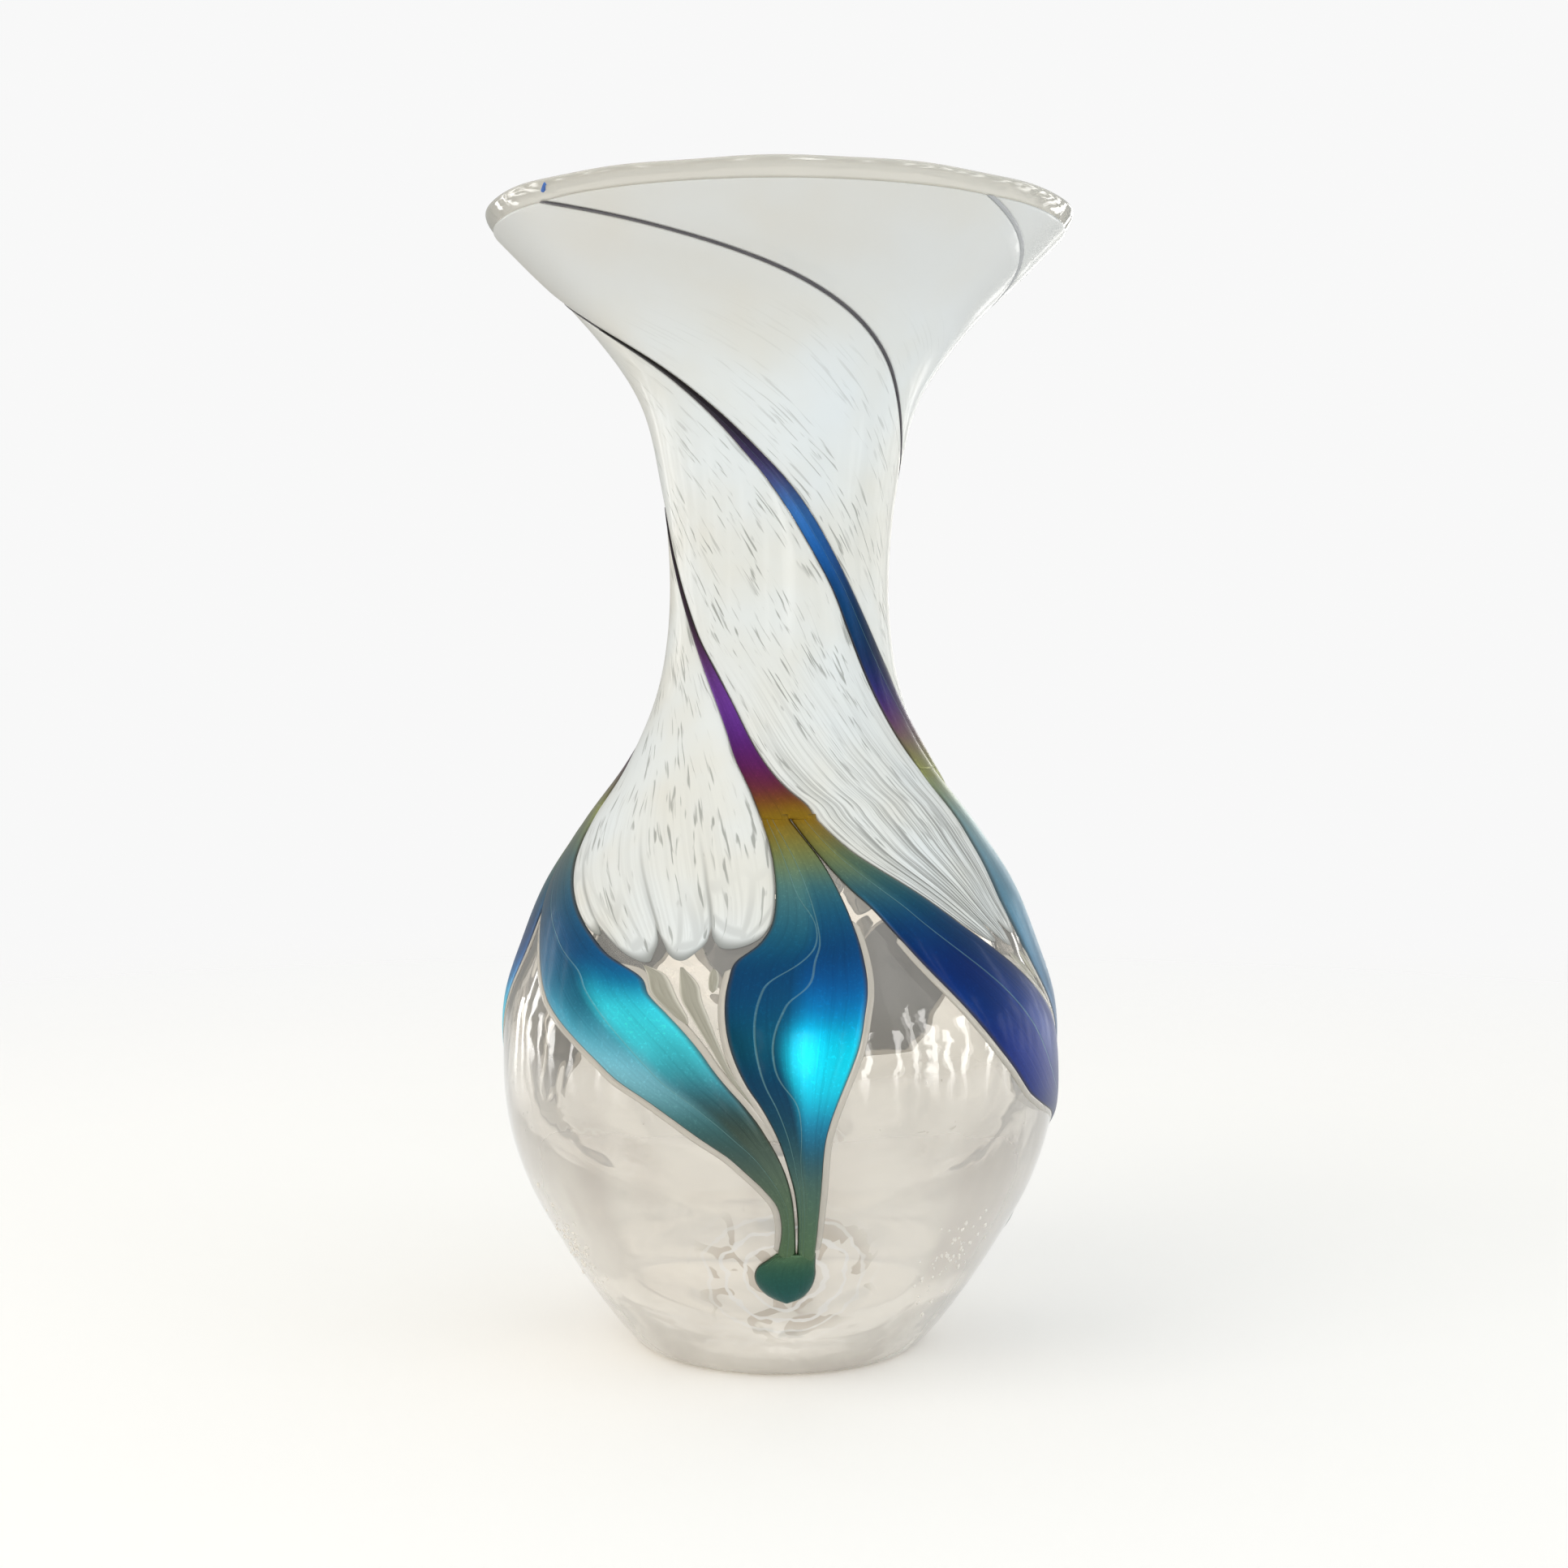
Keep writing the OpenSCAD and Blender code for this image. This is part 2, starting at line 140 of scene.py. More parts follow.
def wall_of(name, outward):
    """A revolved node's wall as [(height, radius)], and its underside as [(radius, height)]."""
    points, faces, normals = node_arrays(name)
    middle = points[faces].mean(axis=1)
    reach = np.hypot(middle[:, 0], middle[:, 1])
    lean = (normals[:, 0] * middle[:, 0] + normals[:, 1] * middle[:, 1]) / np.maximum(reach, 1e-9)
    under = (normals[:, 2] < -0.3) & (middle[:, 2] < UNDERSIDE_TOP) & (lean < 1e-3)
    wall = ((lean > 1e-3) if outward else (lean < -1e-4)) & ~under
    level = points[np.unique(faces[wall])]
    ground = points[np.unique(faces[under])]
    walls = [(p[2], math.hypot(p[0], p[1])) for p in level]
    grounds = [(math.hypot(p[0], p[1]), p[2]) for p in ground]
    return rounded_pairs(walls, 0, 0.05), rounded_pairs(grounds, 0, 0.3)


def islands(name):
    """The separate solids of a node, each as an array of points, in order of their first angle."""
    points, faces, _ = node_arrays(name)
    keys = {}
    number = [keys.setdefault(tuple(np.round(p, 2)), len(keys)) for p in points]
    parent = list(range(len(keys)))

    def root(i):
        while parent[i] != i:
            parent[i] = parent[parent[i]]
            i = parent[i]
        return i

    for a, b, c in faces:
        parent[root(number[a])] = root(number[b])
        parent[root(number[b])] = root(number[c])
    groups = {}
    for i, p in enumerate(points):
        groups.setdefault(root(number[i]), []).append(p)
    return sorted((np.array(g) for g in groups.values()), key=lambda g: math.atan2(g[0][0], -g[0][1]))


class Band:
    """The two edges of a band-like solid, as smooth angles over height."""

    def __init__(self, points):
        rows = {}
        for x, y, z in points:
            rows.setdefault(round(z, 1), []).append((z, math.degrees(math.atan2(x, -y))))
        lefts, rights, near = [], [], None
        for key in sorted(rows):
            row = rows[key]
            near = row[0][1] if near is None else near
            angles = [a + 360 * round((near - a) / 360) for _, a in row]
            z = sum(p[0] for p in row) / len(row)
            lefts.append((z, min(angles)))
            rights.append((z, max(angles)))
            near = (min(angles) + max(angles)) / 2
        self.left, self.right = Curve(lefts), Curve(rights)
        self.low, self.high = lefts[0][0], lefts[-1][0]

    def edges(self, z):
        return self.left(z), self.right(z)


outer_wall, under_face = wall_of("outer_casing", True)
cavity_wall, _ = wall_of("inner_gather", False)
# The radius of the glass's outer face at a height
outer_r = Curve(outer_wall)
lip_box_low, lip_box_high = (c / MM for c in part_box("lip_wrap"))
LIP_Z = lip_box_low.z


def sideways(z):
    """How much further a thickness reaches sideways because the wall slopes there."""
    return math.hypot(1, outer_r(z + 0.5) - outer_r(z - 0.5))


def degrees_for(length, z):
    return math.degrees(length / outer_r(z))


def place(angle, r, z):
    a = math.radians(angle)
    return (r * math.sin(a) * MM, -r * math.cos(a) * MM, z * MM)


bands = {
    kind: [Band(islands(f"{kind}_{k}")[0]) for k in FEATHERS]
    for kind in ("root_drop", "slanted_leaf", "upright_leaf", "tail", "thread")
}


def drop_centres():
    for band in bands["root_drop"]:
        z = mix(band.low, band.high, 0.5)
        left, right = band.edges(z)
        yield (left + right) / 2, z


DROPS = list(drop_centres())


# ---- meshes
def added(name, data):
    """A new object in the scene."""
    made = bpy.data.objects.new(name, data)
    bpy.context.scene.collection.objects.link(made)
    return made


def finished(name, verts, faces, uvs, materials, slots, replaces, smooth=None):
    """A piece that rides on the vase and stands for its CAD nodes. uvs holds one pair a vertex."""
    mesh = bpy.data.meshes.new(name)
    mesh.from_pydata(verts, [], faces)
    layer = mesh.uv_layers.new(name="along")
    corner = np.zeros(len(mesh.loops), int)
    mesh.loops.foreach_get("vertex_index", corner)
    layer.data.foreach_set("uv", np.array(uvs, float)[corner].ravel())
    for material in materials:
        mesh.materials.append(material)
    mesh.polygons.foreach_set("material_index", slots)
    mesh.polygons.foreach_set("use_smooth", smooth or [True] * len(faces))
    mesh.validate()
    piece = added(name, mesh)
    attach(piece, "root")
    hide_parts(*replaces)


def lofted(rings):
    """Faces from each ring of point numbers to the next. A ring of one point is a pole."""
    faces = []
    for low, high in zip(rings, rings[1:]):
        cols = max(len(low), len(high))
        for j in range(cols):
            k = (j + 1) % cols
            if len(low) == 1:
                faces.append((low[0], high[k], high[j]))
            elif len(high) == 1:
                faces.append((low[j], low[k], high[0]))
            else:
                faces.append((low[j], low[k], high[k], high[j]))
    return faces


def numbered(rings, size, first=0):
    """Point numbers of equal rings that follow one another."""
    return [list(range(first + i * size, first + (i + 1) * size)) for i in range(rings)]


class Skins:
    """Closed skins over grids of (angle, z, thickness, u, v), for one piece. Slot 0 has slot 1 behind it."""

    def __init__(self):
        self.verts, self.faces, self.uvs, self.slots, self.smooth = [], [], [], [], []

    def add(self, grid, sink=0.12, slot=0):
        rows, cols, first = len(grid), len(grid[0]), len(self.verts)
        size = rows * cols
        for back in (0, 1):
            for row in grid:
                for angle, z, thick, u, v in row:
                    reach = -sink if back else thick * sideways(z)
                    self.verts.append(place(angle, outer_r(z) + reach, z))
                    self.uvs.append((u, v))
            for i in range(rows - 1):
                for j in range(cols - 1):
                    a = first + back * size + i * cols + j
                    front = (a, a + 1, a + cols + 1, a + cols)
                    self.faces.append((a, *front[:0:-1]) if back else front)
                    self.slots.append(slot or back)
        rim = list(range(cols))
        rim += [i * cols + cols - 1 for i in range(1, rows)]
        rim += [(rows - 1) * cols + j for j in range(cols - 2, -1, -1)]
        rim += [i * cols for i in range(rows - 2, 0, -1)]
        for a, b in zip(rim, rim[1:] + rim[:1]):
            self.faces.append((first + a, first + a + size, first + b + size, first + b))
            self.slots.append(slot)
        self.smooth += [True] * (len(self.faces) - len(self.smooth) - len(rim)) + [False] * len(rim)
        return self

    def finish(self, name, materials, slot_name, replaces):
        finished(
            name, self.verts, self.faces, self.uvs, materials, self.slots, replaces, self.smooth
        )


# ---- material helpers
def paint(r, g, b):
    """A colour given as screen values 0 to 255, as the linear colour that shaders take."""
    shares = [c / 255 for c in (r, g, b)]
    return tuple(c / 12.92 if c <= 0.04 else ((c + 0.055) / 1.055) ** 2.4 for c in shares) + (1.0,)


def node(tree, kind, inputs=None, **settings):
    made = tree.nodes.new("ShaderNode" + kind)
    for key, value in settings.items():
        setattr(made, key, value)
    for key, value in (inputs or {}).items():
        if isinstance(value, bpy.types.NodeSocket):
            tree.links.new(value, made.inputs[key])
        else:
            made.inputs[key].default_value = value
    return made


def calc(tree, operation, *values):
    """A Math node, or a chain of them for more than two values."""
    made = node(tree, "Math", dict(enumerate(values[:2])), operation=operation).outputs[0]
    return calc(tree, operation, made, *values[2:]) if values[2:] else made


def product(tree, *factors):
    return calc(tree, "MULTIPLY", *factors)


def centred(tree, value, width):
    """A value of 0..1 moved to lie round 0, and given a width."""
    return product(tree, calc(tree, "SUBTRACT", value, 0.5), width)


def step(tree, value, low, high, start=0.0, end=1.0):
    """A smooth step of value from start at low to end at high."""
    inputs = {"Value": value, "From Min": low, "From Max": high, "To Min": start, "To Max": end}
    return node(tree, "MapRange", inputs, interpolation_type="SMOOTHSTEP").outputs["Result"]


def step_linear(tree, value, low, high):
    return node(tree, "MapRange", {"Value": value, "From Min": low, "From Max": high}).outputs["Result"]


def blend(tree, share, a, b, mode="MIX"):
    made = node(tree, "Mix", {0: share, 6: a, 7: b}, data_type="RGBA", blend_type=mode)
    return made.outputs[2]


def tinted(tree, share, colour, tint):
    """The colour, multiplied by a tint to the given share."""
    return blend(tree, share, colour, blend(tree, 1.0, colour, tint, "MULTIPLY"))


def from_sides(tree, u):
    """The distance across a piece to its nearer edge."""
    return calc(tree, "MINIMUM", u, calc(tree, "SUBTRACT", 1.0, u))


def ramp(tree, value, stops, interpolation="B_SPLINE"):
    made = node(tree, "ValToRGB", {"Fac": value})
    made.color_ramp.interpolation = interpolation
    elements = made.color_ramp.elements
    while len(elements) > 1:
        elements.remove(elements[-1])
    elements[0].position, elements[0].color = stops[0][0], stops[0][1]
    for place_on_ramp, colour in stops[1:]:
        elements.new(place_on_ramp).color = colour
    return made.outputs["Color"]


def line_curve(tree, value, points):
    """A smooth function through given points, as a Float Curve node."""
    made = node(tree, "FloatCurve", {"Value": value})
    line = made.mapping.curves[0]
    for i, (x, y) in enumerate(points):
        if i < 2:
            line.points[i].location = (x, y)
        else:
            line.points.new(x, y)
    made.mapping.update()
    return made.outputs[0]


def noise(tree, vector, scale, detail=3.0, roughness=0.5, distortion=0.0):
    inputs = {"Vector": vector, "Scale": scale, "Detail": detail, "Roughness": roughness}
    return node(tree, "TexNoise", {**inputs, "Distortion": distortion}).outputs["Fac"]


def stretched(tree, u, v, across, along):
    """Coordinates for streaks that run along a piece: fine across it and long along it."""
    return node(tree, "CombineXYZ", {0: product(tree, u, across), 1: product(tree, v, along)}).outputs[0]


def new_material(name):
    """An empty material with the piece's own across and along values."""
    material = bpy.data.materials.new(name)
    material.use_nodes = True
    tree = material.node_tree
    tree.nodes.clear()
    uv = node(tree, "UVMap", uv_map="along")
    u, v, _ = node(tree, "SeparateXYZ", {0: uv.outputs[0]}).outputs
    return material, tree, u, v, node(tree, "TexCoord").outputs["Object"]


def close_material(material, tree, shader):
    node(tree, "OutputMaterial", {"Surface": shader})
    return material


def principled(material, tree, inputs):
    """The material closed with one Principled shader."""
    return close_material(material, tree, node(tree, "BsdfPrincipled", inputs).outputs[0])


def bump(tree, height, distance):
    return node(tree, "Bump", {"Height": height, "Distance": distance, "Strength": 1.0}).outputs[0]


def rays_in_glass(tree, path):
    """1 for a ray that has passed into the glass, and 0 for light that a dull surface gathers."""
    inside = calc(tree, "GREATER_THAN", path.outputs["Transmission Depth"], 0.5)
    return product(tree, inside, calc(tree, "SUBTRACT", 1.0, path.outputs["Is Diffuse Ray"]))


# ---- materials
# The pearl thins out between these heights, and the upright streaks stop between the next two
PEARL_LOW, PEARL_HIGH = 30, 85
STREAK_LOW, STREAK_HIGH = 50, 75
# Rings round a drop: the distance from one to the next, and where they fade out.
# Their pale lines are a painted reflection of the ripples.
FLOW_RING, FLOW_NEAR, FLOW_FAR = 4.2, 14, 24


def clear_glass_material(name, tint, ripple_mm, clearness, fume, marked=False):
    """Clear blown glass with faint cords in it and a pearly fume outside. Lamps shine through it, tinted.

    clearness is the share that is clear glass, as (at the foot, at the belly), and the rest is pearl.
    Marked glass has soft upright streaks, and rings where it flowed round the drops, drawn as pale lines of
    painted reflection.
    """
    material, tree, _, _, position = new_material(name)
    cords = noise(tree, position, 38.0, 2.0, 0.5, 1.2)
    height = node(tree, "SeparateXYZ", {0: position}).outputs[2]
    clear = clearness[0]
    if clearness[0] != clearness[1]:
        clear = step(tree, height, PEARL_LOW * MM, PEARL_HIGH * MM, *clearness)
    colour = flow_marks_and_ring_reflections(tree, position, height, tint) if marked else tint
    glass = node(tree, "BsdfPrincipled", {
        "Base Color": colour, "Roughness": 0.0, "IOR": 1.5, "Transmission Weight": clear,
        "Coat Weight": fume, "Coat Roughness": 0.0, "Coat IOR": 1.9,
        "Normal": bump(tree, cords, ripple_mm * MM),
    })
    passing = node(tree, "BsdfTransparent", {"Color": tint})
    shadow = node(tree, "LightPath").outputs["Is Shadow Ray"]
    mixed = node(tree, "MixShader", {0: shadow, 1: glass.outputs[0], 2: passing.outputs[0]})
    return close_material(material, tree, mixed.outputs[0])


def flow_marks_and_ring_reflections(tree, position, height, tint):
    """The tint, with soft upright streaks low on the bulb, and round each drop patches and pale rings of
    painted reflection.
    """
    upright = node(tree, "VectorMath", {0: position, 1: (34.0, 34.0, 4.0)}, operation="MULTIPLY").outputs[0]
    streak = step(tree, noise(tree, upright, 1.0, 2.0, 0.5, 0.6), 0.38, 0.62)
    low = step(tree, height, STREAK_LOW * MM, STREAK_HIGH * MM, 1.0, 0.25)
    pale = tuple(min(1.0, c * 1.05) for c in tint[:3]) + (1.0,)
    deep = tuple(c * d for c, d in zip(tint[:3], (0.86, 0.84, 0.83))) + (1.0,)
    colour = blend(tree, product(tree, streak, low), pale, deep)
    away = None
    for angle, z in DROPS:
        centre = place(angle, outer_r(z), z)
        gap = node(tree, "VectorMath", {0: position, 1: centre}, operation="DISTANCE").outputs["Value"]
        away = gap if away is None else calc(tree, "MINIMUM", away, gap)
    drift = centred(tree, noise(tree, position, 130.0, 2.0), 7 * MM)
    turns = product(tree, calc(tree, "ADD", away, drift), 2 * math.pi / (FLOW_RING * MM))
    wave = calc(tree, "SINE", turns)
    near = step(tree, away, FLOW_NEAR * MM, FLOW_FAR * MM, 1.0, 0.0)
    patch = step(tree, noise(tree, position, 150.0, 1.0, 0.4, 0.8), 0.54, 0.57)
    patch = product(tree, patch, near)
    colour = blend(tree, product(tree, patch, 0.85), colour, (0.6, 0.53, 0.44, 1.0))
    # Pale ring lines round each drop: a painted reflection of the ripples there
    line = product(tree, step(tree, wave, 0.6, 0.9), near)
    return blend(tree, product(tree, line, 0.9), colour, (1.0, 0.995, 0.98, 1.0))


def clouded_material(name, scale, detail, dark, light, roughness, coat=0.0):
    """Glass of two tones in soft clouds."""
    material, tree, _, _, position = new_material(name)
    colour = blend(tree, noise(tree, position, scale, detail), dark, light)
    return principled(material, tree, {"Base Color": colour, "Roughness": roughness, "Coat Weight": coat})


def iridescent_material(name, lit, shaded, split, seams=(), edge=0.05, roughness=0.34):
    """Satin metal-like sheen over silver glass.

    lit and shaded are colours along the piece for its right and left parts; where they differ, the
    difference is painted light and shade. split is where one turns into the other, as across values over
    along, and seams are thin pale lines, each given the same way.
    """
    material, tree, u, v, position = new_material(name)
    drift = centred(tree, noise(tree, position, 45.0, 2.0), 0.05)
    along = calc(tree, "ADD", v, drift)
    # The right and left colours, painted light and painted shade where they differ, meet along the split
    right = ramp(tree, along, lit)
    left = ramp(tree, along, shaded)
    offset = calc(tree, "SUBTRACT", u, line_curve(tree, v, split))
    colour = blend(tree, step(tree, offset, -0.12, 0.12), left, right)
    streaks = noise(tree, stretched(tree, u, v, 26.0, 1.6), 1.0, 4.0, 0.6, 0.3)
    colour = tinted(tree, step(tree, streaks, 0.35, 0.8, 0.0, 0.28), colour, (1.35, 1.35, 1.3, 1.0))
    colour = tinted(tree, step(tree, streaks, 0.5, 0.2, 0.0, 0.4), colour, (0.55, 0.58, 0.62, 1.0))
    ends = product(tree, step(tree, v, 0.0, 0.04, 0.0, 0.75), step(tree, v, 0.93, 0.985, 1.0, 0.0))
    rim = product(tree, step(tree, from_sides(tree, u), 0.0, edge, 1.0, 0.0), ends)
    colour = blend(tree, rim, colour, paint(70, 66, 56))
    groove = None
    for seam in seams:
        gap = calc(tree, "ABSOLUTE", calc(tree, "SUBTRACT", u, line_curve(tree, v, seam)))
        line = step(tree, gap, 0.003, 0.013, 1.0, 0.0)
        colour = blend(tree, product(tree, line, 0.34), colour, paint(128, 176, 176))
        groove = line if groove is None else calc(tree, "MAXIMUM", groove, line)
    grain = noise(tree, position, 1400.0, 2.0, 0.7)
    colour = tinted(tree, step(tree, grain, 0.52, 0.75, 0.0, 0.55), colour, (1.5, 1.45, 1.4, 1.0))
    height = calc(tree, "ADD", product(tree, streaks, 0.5), product(tree, grain, 0.08))
    if groove is not None:
        height = calc(tree, "SUBTRACT", height, product(tree, groove, 0.6))
    sheen = calc(tree, "ADD", roughness - 0.05, product(tree, grain, 0.1))
    return principled(material, tree, {
        "Base Color": colour, "Metallic": 0.9, "Roughness": sheen, "Coat Weight": 0.12,
        "Coat Roughness": 0.1, "Normal": bump(tree, height, 0.12 * MM),
    })


# The white turns greyer from the neck to the flare between these heights
FLARE_LOW, FLARE_HIGH = 226, 262


def opal_material(name, lobe_ends, streak_top, streak_weight):
    """Opal white chips drawn out by the twist, with grey glass between them."""
    material, tree, u, v, position = new_material(name)
    across = calc(tree, "ADD", u, centred(tree, noise(tree, position, 30.0, 2.0), 0.05))
    low = step(tree, v, 0.02, streak_top, 1.0, 0.0)
    dashes = noise(tree, stretched(tree, across, v, 50.0, 23.0), 1.0, 1.5, 0.5, 0.5)
    patch = noise(tree, stretched(tree, across, v, 5.0, 5.0), 1.0, 2.0)
    dash = product(tree, step(tree, dashes, 0.57, 0.68), step(tree, patch, 0.36, 0.54))
    strands = noise(tree, stretched(tree, across, v, 46.0, 3.2), 1.0, 3.0, 0.6, 0.5)
    strand = product(tree, step(tree, strands, 0.44, 0.64), low, streak_weight)
    cells = node(
        tree, "TexVoronoi", {"Vector": stretched(tree, across, v, 7.0, 10.0), "Scale": 1.0},
        feature="DISTANCE_TO_EDGE",
    )
    chips = step(tree, cells.outputs["Distance"], 0.02, 0.1, 1.0, 0.0)
    to_side = from_sides(tree, across)
    for end in lobe_ends[:-1]:
        to_side = calc(tree, "MINIMUM", to_side, calc(tree, "ABSOLUTE", calc(tree, "SUBTRACT", across, end)))
    notch = product(tree, step(tree, to_side, 0.0, 0.02, 1.0, 0.0), step(tree, v, 0.02, 0.16, 1.0, 0.0))
    outlines = product(tree, chips, step(tree, v, 0.03, 0.12, 0.42, 0.0))
    between = calc(tree, "MAXIMUM", notch, outlines)
    hem = step(tree, v, 0.0, 0.018, 0.75, 0.0)
    grey = product(tree, dash, 0.6, step(tree, v, 0.55, 0.9, 1.0, 0.0))
    grey = calc(tree, "MAXIMUM", grey, strand, product(tree, between, 0.55), hem)
    cloud = noise(tree, position, 22.0, 3.0)
    white = blend(tree, step(tree, cloud, 0.3, 0.7), paint(225, 223, 213), paint(229, 235, 237))
    height = node(tree, "SeparateXYZ", {0: position}).outputs[2]
    flare = step(tree, height, FLARE_LOW * MM, FLARE_HIGH * MM, 0.0, 0.6)
    white = blend(tree, flare, white, paint(213, 212, 208))
    colour = blend(tree, grey, white, paint(98, 100, 94))
    relief = calc(tree, "SUBTRACT", cloud, product(tree, grey, 0.25))
    return principled(material, tree, {
        "Base Color": colour, "Roughness": 0.3, "Coat Weight": 0.25, "Coat Roughness": 0.08,
        "Normal": bump(tree, relief, 0.35 * MM),
    })


def grey_chip_material():
    """A translucent grey chip with a paler rim."""
    material, tree, u, v, _ = new_material("grey_chip")
    rim = step(tree, from_sides(tree, u), 0.03, 0.2, 1.0, 0.0)
    cloud = noise(tree, stretched(tree, u, v, 5.0, 2.5), 1.0, 3.0)
    colour = blend(tree, cloud, paint(138, 135, 120), paint(176, 173, 158))
    colour = blend(tree, rim, colour, paint(206, 202, 188))
    return principled(material, tree, {
        "Base Color": colour, "Roughness": 0.22, "Coat Weight": 0.5, "Normal": bump(tree, cloud, 0.2 * MM),
    })


def thread_material(name, dark, light):
    """A thread of the same silver glass, drawn out until it is nearly black, or grey with white over it."""
    material, tree, u, v, _ = new_material(name)
    tone = noise(tree, stretched(tree, u, v, 3.0, 30.0), 1.0, 2.0)
    colour = blend(tree, tone, dark, light)
    return principled(material, tree, {
        "Base Color": colour, "Roughness": 0.25, "Metallic": 0.3, "Normal": bump(tree, tone, 0.05 * MM),
    })


def colours(*rows):
    """Colour stops from rows of (place along the piece, red, green, blue), with screen values 0 to 255."""
    return [(at, paint(*colour)) for at, *colour in rows]


# Colours along a feather, from the root to just below the junction. The junction's own colour is added last.
SLENDER_JUNCTION = (134, 104, 16)
FULL_JUNCTION = (142, 146, 96)
OLIVE = (120, 130, 70)
STEM_GREEN = (84, 112, 80)
# Each LIT list is painted light and each SHADED list painted shade on the same glass. The bright cyan stops
# round the middle of LEAF_LIT_A, SLANT_LIT_A and SLANT_SHADED_A are a painted highlight.
LEAF_LIT_A = colours(
    (0.0, *STEM_GREEN), (0.16, 80, 108, 98), (0.25, 38, 84, 100), (0.33, 30, 126, 168), (0.4, 24, 206, 236),
    (0.49, 4, 218, 242), (0.57, 2, 122, 204), (0.67, 2, 62, 118), (0.75, 3, 76, 124), (0.84, 38, 106, 116),
    (0.92, *OLIVE),
)
LEAF_SHADED_A = colours(
    (0.0, *STEM_GREEN), (0.16, 86, 112, 100), (0.25, 44, 82, 90), (0.33, 20, 66, 88), (0.42, 3, 56, 92),
    (0.5, 10, 86, 108), (0.58, 6, 84, 126), (0.67, 2, 58, 108), (0.75, 12, 98, 126), (0.84, 78, 126, 124),
    (0.92, *OLIVE),
)
SLANT_LIT_A = colours(
    (0.0, *STEM_GREEN), (0.17, 90, 108, 90), (0.25, 74, 92, 84), (0.33, 42, 52, 40), (0.41, 68, 134, 152),
    (0.5, 78, 236, 252), (0.57, 64, 234, 250), (0.62, 10, 130, 182), (0.67, 3, 70, 124),
    (0.76, 20, 92, 128), (0.9, 70, 104, 104),
)
SLANT_SHADED_A = colours(
    (0.0, *STEM_GREEN), (0.17, 86, 104, 90), (0.25, 58, 80, 78), (0.33, 56, 108, 112),
    (0.42, 138, 204, 220), (0.5, 76, 172, 196), (0.58, 6, 104, 136), (0.67, 4, 76, 116),
    (0.78, 10, 78, 112), (0.9, 60, 96, 100),
)
SLANT_LIT_B = colours(
    (0.0, *STEM_GREEN), (0.16, 60, 76, 84), (0.3, 44, 56, 118), (0.42, 44, 70, 136), (0.5, 28, 58, 130),
    (0.58, 6, 52, 122), (0.67, 2, 46, 98), (0.76, 2, 58, 104), (0.84, 14, 84, 98), (0.92, 88, 112, 80),
)
SLANT_SHADED_B = colours(
    (0.0, *STEM_GREEN), (0.16, 56, 72, 88), (0.3, 38, 54, 126), (0.42, 26, 50, 132), (0.5, 6, 38, 104),
    (0.58, 2, 50, 118), (0.67, 2, 34, 102), (0.76, 2, 62, 114), (0.84, 38, 100, 112), (0.92, *OLIVE),
)
LEAF_LIT_B = colours(
    (0.0, *STEM_GREEN), (0.16, 66, 92, 104), (0.3, 60, 90, 138), (0.48, 64, 116, 152), (0.62, 86, 146, 174),
    (0.76, 118, 164, 182), (0.9, 144, 168, 166),
)
LEAF_SHADED_B = colours(
    (0.0, *STEM_GREEN), (0.16, 52, 80, 96), (0.3, 40, 76, 130), (0.48, 40, 96, 138), (0.62, 70, 134, 168),
    (0.76, 100, 152, 178), (0.9, 134, 164, 164),
)
TAIL_SLENDER = colours(
    (0.0, *SLENDER_JUNCTION), (0.018, *SLENDER_JUNCTION), (0.055, 120, 70, 24), (0.1, 104, 38, 50),
    (0.16, 92, 24, 84), (0.25, 88, 34, 124), (0.35, 112, 58, 156), (0.44, 104, 58, 134), (0.52, 78, 44, 76),
    (0.62, 52, 38, 48), (1.0, 42, 38, 46),
)
TAIL_FULL = colours(
    (0.0, *FULL_JUNCTION), (0.012, *FULL_JUNCTION), (0.045, 134, 126, 92), (0.09, 112, 76, 104),
    (0.13, 78, 50, 112), (0.18, 38, 42, 112), (0.25, 4, 36, 76), (0.34, 3, 56, 98), (0.43, 6, 64, 120),
    (0.51, 30, 100, 180), (0.58, 56, 118, 188), (0.64, 74, 82, 134), (0.7, 66, 54, 96), (0.77, 54, 46, 58),
    (0.87, 44, 39, 38), (1.0, 36, 34, 36),
)
DROP = colours(
    (0.0, 20, 84, 84), (0.45, 34, 84, 76), (0.75, 48, 90, 74), (1.0, *STEM_GREEN),
)

MIDDLE = [(0.0, 0.5), (1.0, 0.5)]
LEAF_SEAM_A = [
    (0.0, 0.3), (0.2, 0.36), (0.33, 0.5), (0.45, 0.33), (0.58, 0.42), (0.66, 0.6), (0.8, 0.52), (1.0, 0.4),
]
LEAF_SEAM_A2 = [(0.0, 0.12), (0.25, 0.22), (0.45, 0.2), (0.62, 0.26), (0.72, 0.55), (0.85, 0.3), (1.0, 0.2)]
LEAF_SPLIT_A = [(0.0, 0.4), (0.25, 0.46), (0.35, 0.5), (0.47, 0.45), (0.6, 0.52), (0.8, 0.5), (1.0, 0.5)]
SLANT_SEAM = [(0.0, 0.5), (0.2, 0.55), (0.4, 0.48), (0.6, 0.52), (0.8, 0.46), (1.0, 0.5)]
SLANT_SPLIT = [(0.0, 0.5), (0.3, 0.55), (0.45, 0.5), (0.7, 0.55), (1.0, 0.5)]
LEAF_SEAM_B = [(0.0, 0.4), (0.3, 0.45), (0.55, 0.4), (0.8, 0.55), (1.0, 0.5)]

